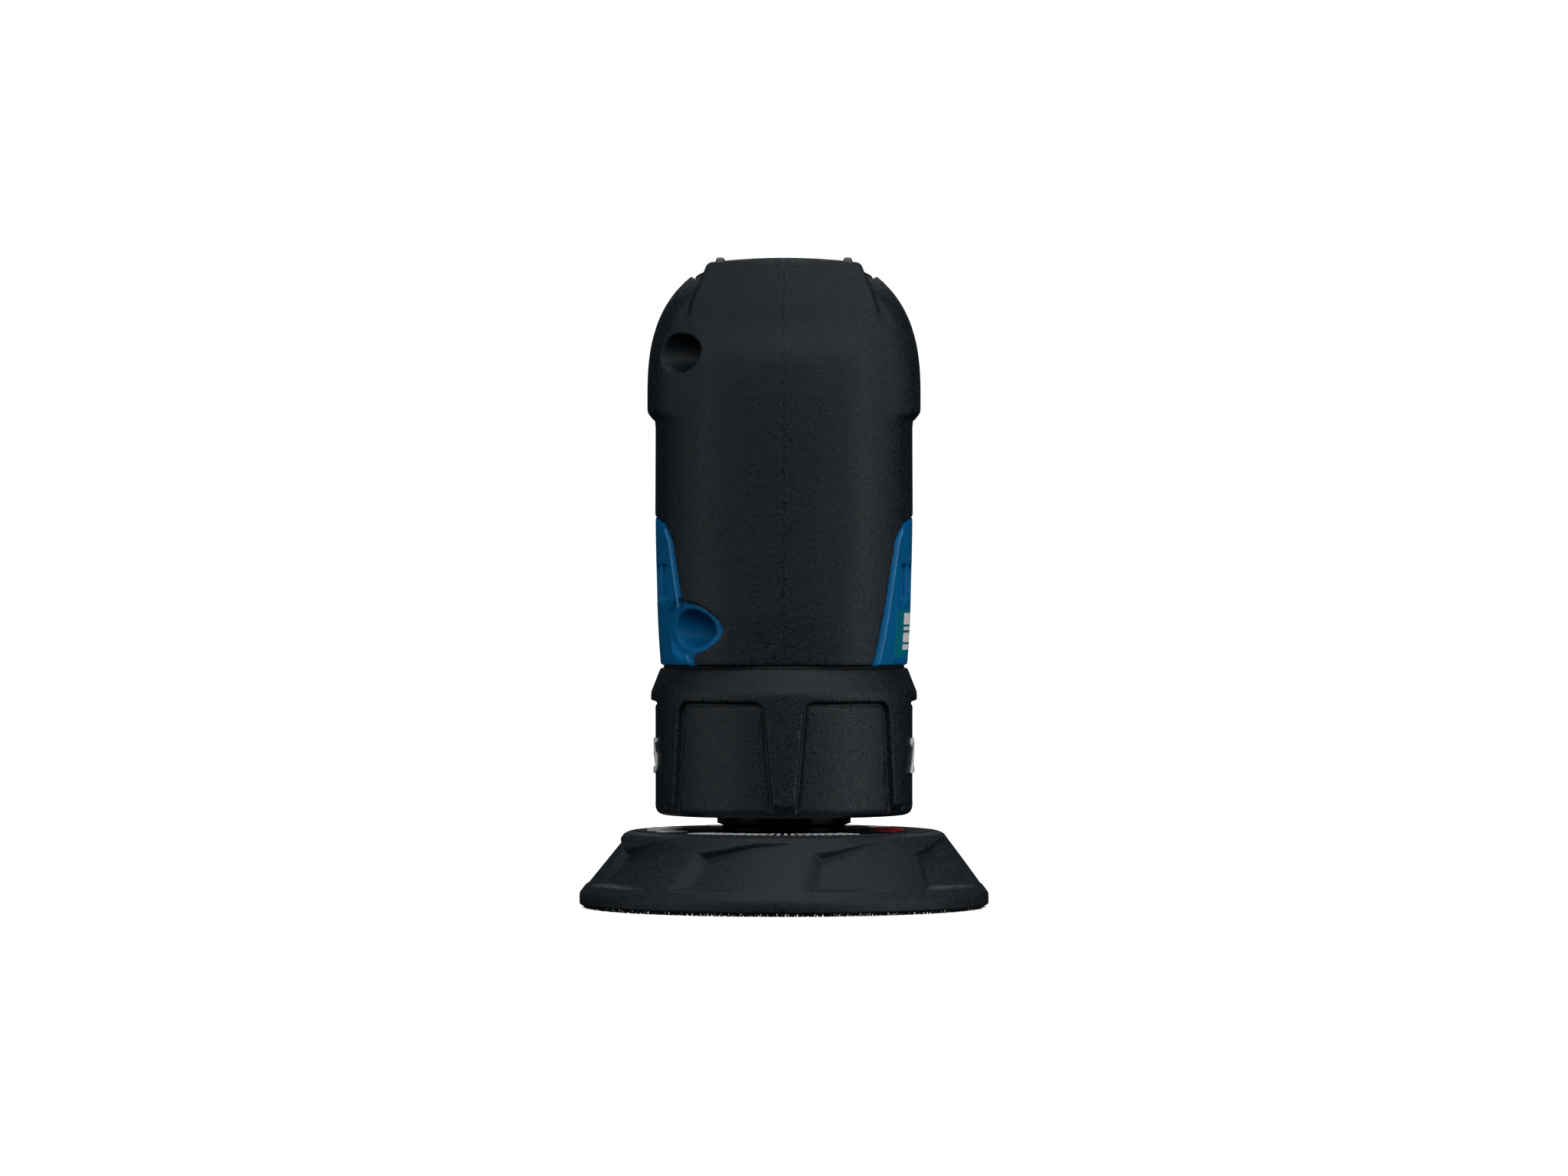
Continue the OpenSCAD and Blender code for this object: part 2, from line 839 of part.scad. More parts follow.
module dial_potentiometer() {
  color(green)
    union() {
      rod_x(1.5, -3.1, 5, dial_y, dial_z);
      block([5.3, dial_y - 5, dial_z - 4.6], [8.6, dial_y + 5, dial_z + 1.2]);
      rod_x(2.4, 4.4, 6, dial_y, dial_z);
    }
}

// ---------- electronics ----------

module control_board() {
  color(green)
    union() {
      block([-16, 31, 69.2], [16, 32.4, 88]);
      for (x = [-11, -4, 3]) block([x, 29.2, 82], [x + 4.6, 31.1, 86.4]);
      block([8, 29.8, 70.4], [14.5, 31.1, 77]);
    }
}

module capacitor() {
  color([0.2, 0.22, 0.3])
    difference() {
      rod_x(4.8, -9, 7, 25.6, 74.4);
      rod_x(3.9, -9.5, -8.5, 25.6, 74.4);
    }
}

module battery_terminals() {
  color(black)
    difference() {
      block([-13, 32.6, 71], [13, 35.4, 84]);
      for (x = [-9, -3, 3, 9]) block([x - 0.7, 33.6, 73], [x + 0.7, 36, 82]);
    }
}

module lead_wires() {
  color(red)
    for (x = [10.9, 13, 15.1]) {
      translate([x, 17.5, 84]) cylinder(r = 0.8, h = 5.4);
      translate([x, 20.5, 84])
        rotate([90, 0, -90])
          rotate_extrude(angle = -90) translate([3, 0]) circle(r = 0.8);
      translate([x, 20.5, 81]) rotate([-90, 0, 0]) cylinder(r = 0.8, h = 10.45);
    }
}

// ---------- battery ----------

module case_outline(r) {
  d = r - 0.02;
  polygon([
    [-cell_x, cell_z - d], [cell_x, cell_z - d], [cell_x + 0.865 * d, cell_z + 0.502 * d],
    [0.865 * d, cell_up + 0.502 * d], [-0.865 * d, cell_up + 0.502 * d],
    [-cell_x - 0.865 * d, cell_z + 0.502 * d]
  ]);
  for (s = [-1, 1]) translate([s * cell_x, cell_z]) circle(r = r);
  translate([0, cell_up]) circle(r = r);
}

module case_prism(r, y0, y1) {
  translate([0, y1, 0]) rotate([90, 0, 0]) linear_extrude(y1 - y0) case_outline(r);
}

module battery_case() {
  color(black)
    difference() {
      case_prism(case_r, case_y, case_end);
      case_prism(case_r - 1.2, case_y + 1.6, case_end - 0.8);
      for (x = [-9, -3, 3, 9]) block([x - 0.9, case_y - 1, 73], [x + 0.9, case_y + 1.8, 82]);
    }
}

module cell(x, z) {
  translate([x, 38.2, z])
    rotate([-90, 0, 0])
      rotate_extrude()
        polygon([
          [0, 0], [cell_r - 0.6, 0], [cell_r, 0.6], [cell_r, 62.6], [cell_r - 0.5, 63.2], [cell_r, 63.8],
          [cell_r, 64.4], [cell_r - 0.6, 64.8], [3, 64.8], [2.8, 64.95], [0, 64.95]
        ]);
}

module battery_cells() {
  color(alloy) {
    cell(-cell_x, cell_z);
    cell(cell_x, cell_z);
    cell(0, cell_up);
  }
}

module battery_contacts() {
  color(copper)
    for (x = [-9, -3, 3, 9]) block([x - 0.4, 34, 73.6], [x + 0.4, case_y + 1.4, 81.4]);
}

// The pack's rear block carries the handle's section on to a rounded end
cap_rows = [
  [handle_end + 0.35, 0], [handle_end + 1, -0.1], [handle_end + 12, 0.15], [pack_end - 3.5, 0.7],
  [pack_end - 1.2, 1.7], [pack_end, 3.2]
];

module cap_body() {
  base = handle_rows[len(handle_rows) - 1];
  rotate([90, 0, 0])
    loft([
      for (i = [len(cap_rows) - 1:-1:0])
        [for (p = handle_ring(base, cap_rows[i][1])) [p[0], p[1], -cap_rows[i][0]]]
    ]);
}

// Each release button sits in a pocket and stands a little proud of the cap's side
module button_seat(s) {
  far = s * (seat_x + 10);
  block(
    [min(s * seat_x, far), button_y - button_w / 2 - 0.25, button_z - button_h / 2 - 0.25],
    [max(s * seat_x, far), button_y + button_w / 2 + 0.25, button_z + button_h / 2 + 0.25]
  );
}

module battery_cap() {
  color(black)
    resize([0, 0, 0])
      difference() {
        cap_body();
        case_prism(case_r + 0.05, 90, case_end + 0.05, $fn = 32);
        for (s = [-1, 1]) button_seat(s);
        for (x = [-12:6:12]) block([x - 0.9, pack_end - 1.1, 66], [x + 0.9, pack_end + 2, 108]);
      }
}

module release_button(s) {
  color(blue)
    translate([s * button_x, button_y, button_z])
      difference() {
        cube([button_t, button_w, button_h], center = true);
        for (z = [-4.5:3:4.5])
          translate([s * (button_t / 2 + 0.2), 0, z])
            rotate([90, 0, 0])
              cylinder(r = 0.7, h = 20, center = true);
      }
}

module release_button_left() {
  release_button(-1);
}

module release_button_right() {
  release_button(1);
}

module release_spring(s) {
  color(steel)
    translate([s * (seat_x + eps), button_y, button_z])
      rotate([0, s * 90, 0])
        coil(1.5, 0.25, 3, button_x - button_t / 2 - seat_x - 2 * eps);
}

module release_spring_left() {
  release_spring(-1);
}

module release_spring_right() {
  release_spring(1);
}

housing_left();
housing_right();
grip_left();
grip_right();
clamshell_screws();
stator_core();
stator_windings();
bearing_bracket();
bracket_screws();
lower_bearing();
upper_bearing();
upper_bearing_cup();
control_board();
capacitor();
switch_body();
dial_potentiometer();
battery_terminals();
lead_wires();
motor_shaft();
rotor_magnets();
cooling_fan();
lower_inner_race();
upper_inner_race();
orbit_hub();
counterweight();
counterweight_screws();
pad_bearing_outer();
orbit_collar();
collar_seal();
pad_spindle();
pad_bearing_inner();
spindle_circlip();
backing_plate();
pad_stud();
pad_body();
pad_cover_disc();
hook_layer();
paddle();
paddle_pin();
paddle_spring();
switch_plunger();
speed_dial();
battery_case();
battery_cells();
battery_contacts();
battery_cap();
release_button_left();
release_button_right();
release_spring_left();
release_spring_right();
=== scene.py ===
"""Compact cordless random-orbit sander: studio view and visual meshes.

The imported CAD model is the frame. Curved pieces are signed distance fields, in millimetres, worked out on a
grid and meshed; hooks, beads and printed marks are drawn point by point. Every piece rides on its CAD body.
X runs across the tool, with the seam between its halves at 0. The front faces -Y, and Z is up.
"""
import json
import math

import bmesh
import bpy
import numpy as np
import openvdb
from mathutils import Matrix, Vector


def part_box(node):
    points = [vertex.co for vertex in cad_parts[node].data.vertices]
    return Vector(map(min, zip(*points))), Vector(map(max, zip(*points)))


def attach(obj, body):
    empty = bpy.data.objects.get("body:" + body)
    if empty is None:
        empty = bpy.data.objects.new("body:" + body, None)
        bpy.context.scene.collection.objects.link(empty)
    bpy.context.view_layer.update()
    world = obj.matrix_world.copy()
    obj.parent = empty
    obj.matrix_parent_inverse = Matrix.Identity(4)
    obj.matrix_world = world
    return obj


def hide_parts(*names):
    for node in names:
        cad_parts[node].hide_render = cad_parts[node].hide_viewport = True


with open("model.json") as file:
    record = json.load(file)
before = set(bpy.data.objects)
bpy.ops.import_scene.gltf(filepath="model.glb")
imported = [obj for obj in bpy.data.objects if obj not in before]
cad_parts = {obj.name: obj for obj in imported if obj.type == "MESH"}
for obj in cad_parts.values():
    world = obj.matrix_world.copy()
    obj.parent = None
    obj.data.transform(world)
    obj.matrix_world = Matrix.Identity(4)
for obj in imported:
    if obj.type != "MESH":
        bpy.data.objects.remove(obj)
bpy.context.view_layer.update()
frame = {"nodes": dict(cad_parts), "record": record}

MM = 0.001


def low_high(node):
    """A CAD node's box at rest, in millimetres."""
    low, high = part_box(node)
    return np.array(low) / MM, np.array(high) / MM


# ------ sizes, in millimetres

pad_low, pad_high = low_high("pad_body")
grip_low, grip_high = low_high("grip_right")
collar_low, collar_high = low_high("orbit_collar")
cap_low, cap_high = low_high("battery_cap")
dial_low, dial_high = low_high("speed_dial")
hook_low, hook_high = low_high("hook_layer")

PAD_R = (pad_high[0] - pad_low[0]) / 2
PAD_TOP = pad_high[2]
SPINDLE_Y = (pad_high[1] + pad_low[1]) / 2
FOOT = grip_low[2] - 0.2
HANDLE_END = grip_high[1]
NOSE_TOP = grip_high[2]
COLLAR_R = collar_high[0]
COLLAR_LOW, COLLAR_TOP = collar_low[2], collar_high[2]
PALM_W = grip_high[0]
HANDLE_LOW = cap_low[2]
CAP_END = cap_high[1]
HOOK_R = (hook_high[0] - hook_low[0]) / 2
PADDLE_FOOT = low_high("paddle")[0][2]
DISC_TOP = low_high("pad_cover_disc")[1][2]

GRIP_T = 1.2  # thickness of the soft grip
SHELL_IN = 3.0  # from the outer form to the housing's inside
SEAM = {"grip": 0.04, "housing": 0.004}  # half width of the seam's groove at the surface
SHUT = 0.002  # half width of the seam where it is shut
SEAM_TOP = 117.2  # the groove runs out here
HANDS = ((-1, "left"), (1, "right"))
STEP = 0.3  # pitch of the grid for the large pieces
ADAPT = 0.02  # how far a mesh may leave its field to save faces


# ------ signed distance tools


def smooth_min(a, b, k):
    """Union of two fields, with a fillet of about k."""
    h = np.clip(0.5 + 0.5 * (b - a) / k, 0, 1)
    return b * (1 - h) + a * h - k * h * (1 - h)


def smooth_max(a, b, k):
    """Intersection of two fields, with a rounding of about k."""
    return -smooth_min(-a, -b, k)


def superellipse(u, v, a, b, n):
    """Distance to the curve (u/a)^n + (v/b)^n = 1, first order."""
    u = np.maximum(np.abs(u), 1e-4)
    v = np.maximum(np.abs(v), 1e-4)
    p = 1 / n
    s = (u / a) ** n + (v / b) ** n
    slope = np.hypot(n * u ** (n - 1) / a**n, n * v ** (n - 1) / b**n)
    return (s**p - 1) / np.maximum(p * s ** (p - 1) * slope, 1e-3)


def box_field(x, y, z, low, high, r):
    """Distance to a box whose edges are rounded to r."""
    qx = np.abs(x - (low[0] + high[0]) / 2) - (high[0] - low[0]) / 2 + r
    qy = np.abs(y - (low[1] + high[1]) / 2) - (high[1] - low[1]) / 2 + r
    qz = np.abs(z - (low[2] + high[2]) / 2) - (high[2] - low[2]) / 2 + r
    out = np.sqrt(np.maximum(qx, 0) ** 2 + np.maximum(qy, 0) ** 2 + np.maximum(qz, 0) ** 2)
    return out + np.minimum(np.maximum(qx, np.maximum(qy, qz)), 0) - r


def polygon_field(u, v, points):
    """Distance to a polygon in a plane, negative inside."""
    d = np.full(np.broadcast(u, v).shape, 1e9, np.float32)
    sign = np.ones(d.shape, np.float32)
    for (ax, ay), (bx, by) in zip(points, points[1:] + points[:1]):
        ex, ey = bx - ax, by - ay
        wx, wy = u - ax, v - ay
        t = np.clip((wx * ex + wy * ey) / (ex * ex + ey * ey), 0, 1)
        d = np.minimum(d, (wx - ex * t) ** 2 + (wy - ey * t) ** 2)
        up = (v >= ay) & (v < by) & (ex * wy > ey * wx)
        down = (v < ay) & (v >= by) & (ex * wy < ey * wx)
        sign = np.where(up | down, -sign, sign)
    return sign * np.sqrt(d)


def curve(x, points, blur=2.0):
    """Values at x of a blurred line through a few (x, value) points."""
    px, pv = np.array(points).T
    fine = np.arange(px[0] - 4 * blur, px[-1] + 4 * blur, 0.25)
    kernel = np.exp(-(np.arange(-3 * blur, 3 * blur + 0.1, 0.25) ** 2) / (2 * blur**2))
    value = np.interp(fine, px, pv)
    pad = len(kernel) // 2
    value = np.convolve(np.pad(value, pad, mode="edge"), kernel / kernel.sum(), mode="valid")
    return np.interp(x, fine, value[: len(fine)]).astype(np.float32)


class Field:
    """Points on a grid, in millimetres, on which fields are worked out."""

    def __init__(self, low, high, step):
        self.low, self.step = np.array(low, np.float32), step
        axes = [np.arange(a, b + step, step, dtype=np.float32) for a, b in zip(low, high)]
        self.x, self.y, self.z = np.meshgrid(*axes, indexing="ij", sparse=True)

    def mesh(self, d):
        """Points and faces of the surface where d is zero."""
        band = 3 * self.step
        grid = openvdb.FloatGrid(band)
        grid.copyFromArray(np.ascontiguousarray(np.clip(d, -band, band), dtype=np.float32))
        points, triangles, quads = grid.convertToPolygons(0.0, ADAPT)
        return points * self.step + self.low, triangles, quads


def add(name, data):
    """A new object in the scene."""
    made = bpy.data.objects.new(name, data)
    bpy.context.collection.objects.link(made)
    return made


def new_mesh(name, points, triangles=(), quads=()):
    """A Blender object from points in millimetres."""
    triangles = np.asarray(triangles, np.int32).reshape(-1, 3)
    quads = np.asarray(quads, np.int32).reshape(-1, 4)
    used = np.unique(np.concatenate([triangles.ravel(), quads.ravel()]))
    renumber = np.full(len(points), -1, np.int32)
    renumber[used] = np.arange(len(used))
    points = np.asarray(points, np.float32)[used]
    loops = np.concatenate([renumber[triangles].ravel(), renumber[quads].ravel()])
    sizes = np.concatenate([np.full(len(triangles), 3), np.full(len(quads), 4)])
    starts = np.concatenate([[0], np.cumsum(sizes)[:-1]])
    mesh = bpy.data.meshes.new(name)
    mesh.vertices.add(len(points))
    mesh.vertices.foreach_set("co", (points * MM).ravel())
    mesh.loops.add(len(loops))
    mesh.loops.foreach_set("vertex_index", loops)
    mesh.polygons.add(len(sizes))
    mesh.polygons.foreach_set("loop_start", starts)
    mesh.update(calc_edges=True)
    mesh.polygons.foreach_set("use_smooth", np.ones(len(sizes), bool))
    mesh.validate()
    return add(name, mesh)


def mirrored(points, triangles, quads):
    """The same surface on the other side of the seam, facing outwards."""
    return points * np.array([-1, 1, 1], np.float32), triangles[:, ::-1], quads[:, ::-1]


def trim(piece, side, gap):
    """Cuts a piece at the seam between the two halves and closes the cut.

    The seam is a narrow groove: open at the surface, shut inside and at the very top.
    """
    work = bmesh.new()
    work.from_mesh(piece.data)
    parts = work.verts[:] + work.edges[:] + work.faces[:]
    at = Vector((side * gap * MM, 0, 0))
    cut = bmesh.ops.bisect_plane(work, geom=parts, plane_co=at, plane_no=(side, 0, 0), clear_inner=True)
    edges = [e for e in cut["geom_cut"] if isinstance(e, bmesh.types.BMEdge)]
    rim = [v for v in cut["geom_cut"] if isinstance(v, bmesh.types.BMVert)]
    bmesh.ops.triangle_fill(work, edges=edges, use_beauty=True, normal=(-side, 0, 0))
    for edge in edges:
        edge.smooth = False
    y, z = (np.array([v.co[i] for v in rim], np.float32) / MM for i in (1, 2))
    inside = body_field(0 * y, y, z) < -GRIP_T / 2
    share = np.where(inside, 0, np.clip((SEAM_TOP - z) / 2, 0, 1))
    for v, part in zip(rim, share):
        v.co.x = side * max(gap * float(part), SHUT) * MM
    work.to_mesh(piece.data)
    work.free()
    return piece


def finish_piece(piece, body, material, nodes=()):
    """Rides a piece on its body, gives it its material and hides the CAD nodes that it stands for."""
    piece.data.materials.clear()
    piece.data.materials.append(material)
    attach(piece, body)
    if nodes:
        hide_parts(*nodes)


# ------ outer form

# half width of the barrel and place of its front, up Z
BARREL_W = [(44, 22.5), (47, 22.9), (56, 23.3), (70, 23.6), (118, 23.4)]
FRONT_Y = [(44, -21.4), (52, -21.8), (92, -21.8), (100, -21.5), (109, -20.5), (117.6, -18.8)]
BOW = 40  # radius of the flatter front
# underside and top of the body, half width of the handle and of the palm grip, all along Y
UNDERSIDE = [(-4, 80), (2, 76), (12, 70.5), (20, 66.2), (28, 63.6), (38, 62.2), (54, 62), (120, 62)]
TOP = [(-16, 116.6), (-4, 117.2), (20, 117.2), (54, 116.7), (96, 114.9), (120, 113.9)]
SIDE_W = [(-4, 23.5), (8, 23.45), (25, 23.2), (120, 23.2)]
PALM = [(-4, 25), (25, 25), (96, 24), (120, 23.6)]
LIP = 89.6  # lower edge of the palm grip
DOME_Z = 93.2  # the palm grip rounds over above this
DOME_W, DOME_H = 25, 27  # half width and height of that dome
DOME_N, DOME_M = 2.3, 2.65  # its powers across and up


def level(s, slope, p):
    """Distance to s = 1 for a sum of powers s with this slope, first order."""
    s = np.maximum(s, 1e-3)
    return (s**p - 1) / np.maximum(p * s ** (p - 1) * slope, 2e-2)


def barrel_field(x, y, z):
    """The upright barrel: a near circle with a flatter front. The round part comes second."""
    w = curve(z, BARREL_W)
    side = superellipse(x, y, w, w * 0.994, 2.05)
    front = (curve(z, FRONT_Y, 1.2) + x**2 / (2 * BOW) - y) / np.hypot(1, x / BOW)
    return smooth_max(side, front, 0.6), side


def dome_terms(x, y, z):
    """Powers and slopes of the palm grip's outline, across and up."""
    up = np.maximum(z - DOME_Z, 0) / DOME_H
    u = np.abs(x) / curve(y, PALM)
    slopes = DOME_N * u ** (DOME_N - 1) / DOME_W, DOME_M * up ** (DOME_M - 1) / DOME_H
    return u**DOME_N, up**DOME_M, *slopes


def dome_field(x, y, z):
    """Upper outline of the palm grip in the front view."""
    across, up, slope_x, slope_z = dome_terms(x, y, z)
    return level(across + up, np.hypot(slope_x, slope_z), 1 / 2.4)


def palm_field(x, y, z):
    """The palm grip, round in front and straight behind, from its lip up."""
    reach = np.interp(z, [90, 102, 111], [19, 20, 24]).astype(np.float32)
    across, up, slope_x, slope_z = dome_terms(x, y, z)
    v = np.maximum(-y, 0) / reach
    slope = np.sqrt(slope_x**2 + (3 * v**2 / reach) ** 2 + slope_z**2)
    palm = smooth_max(level(across + v**3 + up, slope, 1 / 2.4), z - curve(y, TOP, 4), 1.5)
    palm = smooth_max(palm, curve(z, FRONT_Y, 1.2) + x**2 / (2 * BOW) - y + 1.2, 1)
    return smooth_max(palm, LIP - z, 1.6)


def handle_field(x, y, z):
    """The rear handle below the palm grip."""
    mid, n = 78, 3.2  # height of the widest place, and power of the section
    w = curve(y, SIDE_W)
    low = np.maximum(mid - curve(y, UNDERSIDE, 4), 5)
    u, v = np.abs(x) / w, np.maximum(mid - z, 0) / low
    slope = np.hypot(n * u ** (n - 1) / w, n * v ** (n - 1) / low)
    handle = level(u**n + v**n, slope, 1 / n)
    return smooth_max(smooth_max(handle, 4 - y, 3), z - 100, 1)


def nose_field(x, y, z, barrel):
    """The tapered block that carries the barrel's front on to the top."""
    half, taper = 13.8, 0.385
    sides = (np.abs(x) - half - taper * (117.4 - z)) / np.hypot(1, taper)
    crown = z - NOSE_TOP - 0.1 + (x / half) ** 2 * 0.75
    block = smooth_max(smooth_max(sides, crown, 0.8), barrel, 0.7)
    return smooth_max(block, y + 12.4, 0.6)


def body_field(x, y, z):
    """Distance to the whole outer form of housing and grip."""
    barrel, _ = barrel_field(x, y, z)
    top = z - curve(y, TOP, 4)
    back = np.interp(z, [99, 108, 118], [0, 1.0, 3.2]).astype(np.float32)
    soft = np.interp(z, [93, 103], [0.6, 6]).astype(np.float32)
    front = smooth_max(smooth_max(barrel + back, dome_field(x, y, z), soft), top + 0 * x, 8)
    spread = np.interp(np.abs(x), [14, 21], [8, 1]).astype(np.float32)
    form = smooth_min(front, handle_field(x, y, z), spread)
    form = smooth_min(form, palm_field(x, y, z), 1.0)
    merge = np.interp(z, [101, 108], [3, 0.5]).astype(np.float32)
    form = smooth_min(form, nose_field(x, y, z, barrel), merge)
    return smooth_max(form, FOOT - z, 0.5)


# border of the blue panel at one side, in (y, z): up its front edge, back along the handle
PANEL = [
    (-18.1, 30), (-17.0, 44.3), (-15.5, 55.7), (-14.4, 62.4), (-13.6, 66.8), (-12.3, 69.0), (-9.8, 70.2),
    (-5, 71.2), (0, 71.6), (9, 72.6), (18, 75.8), (27, 79.4), (40, 81.2), (70, 82.4), (104, 83), (104, 30),
]
PANEL_IN = 9.5  # nearest that the panel comes to the seam
# y, z and radius of the screw holes in the left half; the first has a ring round it
SCREWS = [(-15.93, 51.1, 3.45), (-15.2, 100.9, 3.45), (24, 88, 3.2), (40, 106.4, 2.7), (88, 106.4, 2.7)]
RING_R = 4.76
SEAT = 8.5  # the screws' heads sit this far from the seam
PADDLE_HALF = [(13.6, -12.3), (15.6, -10.5), (16.2, -6.5), (16.2, 30), (15.4, 50), (13, 56.6), (10, 58)]
PADDLE_PLAN = PADDLE_HALF + [(-px, py) for px, py in reversed(PADDLE_HALF)]
POCKET = 109.8  # floor of the paddle's recess
DIAL_Y, DIAL_Z = 73.0, 111.2
DIAL_R = dial_high[2] - DIAL_Z
BAND_IN = 0.5  # depth of the speed wheel's band below its rims
VENT_LOW, VENT_HIGH = 56.2, 62.7
BAY = 88  # the battery's bay opens up from here to the rear


def pocket_field(x, y, z):
    """Recess of the paddle and slot of the speed wheel."""
    plan = polygon_field(x, y, PADDLE_PLAN) - 0.4
    recess = smooth_max(plan + 0 * z, POCKET - z + 0 * x, 0.8)
    slot = box_field(x, y, z, (-3.2, DIAL_Y - 7.8, DIAL_Z - 7.6), (3.2, DIAL_Y + 7.8, 130), 0.6)
    return np.minimum(recess, slot)


def vent_field(x, y, z, d):
    """Scooped outlets round the fan, and slots along the handle."""
    angle = np.degrees(np.arctan2(np.abs(x), -y))
    out = np.full(d.shape, 9.0, np.float32)
    tall = np.abs(z - (VENT_LOW + VENT_HIGH) / 2) - (VENT_HIGH - VENT_LOW) / 2
    first, pitch, per_degree, run = 74, 11.7, 0.41, 4.1
    for i in range(5):
        s = (angle - first - pitch * i) * per_degree
        depth = np.clip((s + run) / run, 0, 1) * 1.5
        scoop = smooth_max(np.maximum(s - 0.4 * np.minimum(d, 0), -s - run), tall, 0.5)
        out = np.minimum(out, smooth_max(scoop, -(d + depth), 0.3))
        if i:
            gap = np.maximum(np.maximum(s, -s - 0.9), tall + 0.5)
            out = np.minimum(out, np.maximum(gap, -(d + 4)))
    wide, half_tall = 1.2, 3.5
    for i in range(4):
        sy, sz = np.abs(y - 33 - 5 * i), np.maximum(np.abs(z - 73.5) - half_tall + wide, 0)
        slot = np.hypot(sy, sz) - wide
        out = np.minimum(out, np.maximum(slot + 0 * x, 14 - x))
    return out


def tube_field(y, z, screw, r):
    """Distance to a tube of radius r across the tool, round a screw."""
    return np.hypot(y - screw[0], z - screw[1]) - r


def cut_screws(f, d, barrel_side, skin, shell):
    """Sinks the screw holes into the left half: a liner in the grip, a boss in the housing."""
    x, y, z = f.x, f.y, f.z
    deep = SEAT - x
    ring_hole = tube_field(y, z, SCREWS[0], SCREWS[0][2])
    boss = smooth_max(np.maximum(ring_hole - 1.2, -x), barrel_side + 0.06, 0.25)
    shell = np.minimum(shell, boss)
    shell = smooth_max(shell, -np.maximum(ring_hole, deep), 0.3)
    for screw in SCREWS[1:]:
        hole = tube_field(y, z, screw, screw[2])
        liner = np.maximum(np.maximum(hole - 0.8, d + 0.1), deep)
        skin = np.minimum(skin, liner)
        skin = smooth_max(skin, -np.maximum(hole, deep), 0.35)
        boss = np.maximum(np.maximum(hole - 1.9, d + GRIP_T + 0.05), -x)
        shell = np.minimum(shell, np.where(z > 40, boss, 9))
        shell = np.maximum(shell, -np.maximum(hole - 0.85, deep))
    return skin, shell


def shell_halves():
    """Both halves of the blue housing and of the soft grip: four closed surfaces."""
    low, high = (-0.9, -23.4, FOOT - 0.9), (PALM_W + 1.2, HANDLE_END + 1.2, NOSE_TOP + 1.6)
    f = Field(low, high, STEP)
    x, y, z = f.x, f.y, f.z
    d = smooth_max(body_field(x, y, z), y - HANDLE_END + 0 * x, 0.5)
    _, barrel_side = barrel_field(x, y, z)
    # inside: a shell's thickness under the form, the open bay and the motor's tube
    bay = np.maximum(body_field(x, np.minimum(y, BAY + 6), z) + SHELL_IN, BAY - y)
    motor = np.maximum(np.hypot(x, y) - 20, z - 56)
    cavity = np.minimum(np.minimum(d + SHELL_IN, bay), motor)
    pocket = pocket_field(x, y, z)
    vents = vent_field(x, y, z, d)
    panel = np.maximum(polygon_field(y, z, PANEL) + 0 * x, PANEL_IN - x)
    ring = tube_field(y, z, SCREWS[0], RING_R) + 0 * x
    made = {}
    for side in (-1, 1):
        # the panel's front edge: a low swell that carries the bead of edge_bead
        swell = np.clip(1.8 - np.abs(panel + 0.8) / 0.36, 0, 1) * np.clip((70 - z) / 3, 0, 1)
        zone, d_blue = panel, d
        if side < 0:
            zone = np.minimum(panel, ring)
            swell = swell * np.clip(ring / 0.3 - 0.2, 0, 1)
            d_blue = np.where(ring < 0.6, smooth_max(FOOT - z, barrel_side, 0.3), d)
        blue = d_blue + 0.06 - 0.12 * swell
        skin = smooth_max(d, -(d + GRIP_T), 0.2)
        skin = smooth_max(skin, -zone, 0.35)
        shell = np.minimum(d + GRIP_T + 0.05, smooth_max(blue, zone + 0.22, 0.25))
        shell = np.maximum(shell, -cavity)
        if side < 0:
            skin, shell = cut_screws(f, d, barrel_side, skin, shell)
        shell = smooth_max(shell, -vents, 0.25)
        skin = smooth_max(skin, -pocket, 0.45)
        shell = smooth_max(shell, -pocket, 0.5)
        for name, field in (("grip", skin), ("housing", shell)):
            surface = f.mesh(np.maximum(field, -0.6 - x))
            if side < 0:
                surface = mirrored(*surface)
            made[name, side] = surface
    return made


def tube_faces(start, rings, sides):
    """Faces between one ring of points and the next, from the point start on."""
    faces = []
    for k in range(start, start + (rings - 1) * sides, sides):
        for q in range(sides):
            a, b = k + q, k + (q + 1) % sides
            faces.append((a, b, b + sides, a + sides))
    return faces


def surface_x(y, z):
    """How far out the form lies at points (y, z), by halving the interval."""
    near, far = np.full(len(y), 8.0, np.float32), np.full(len(y), 27.0, np.float32)
    for _ in range(16):
        mid = (near + far) / 2
        inside = body_field(mid, y, z) < 0
        near, far = np.where(inside, mid, near), np.where(inside, far, mid)
    return near


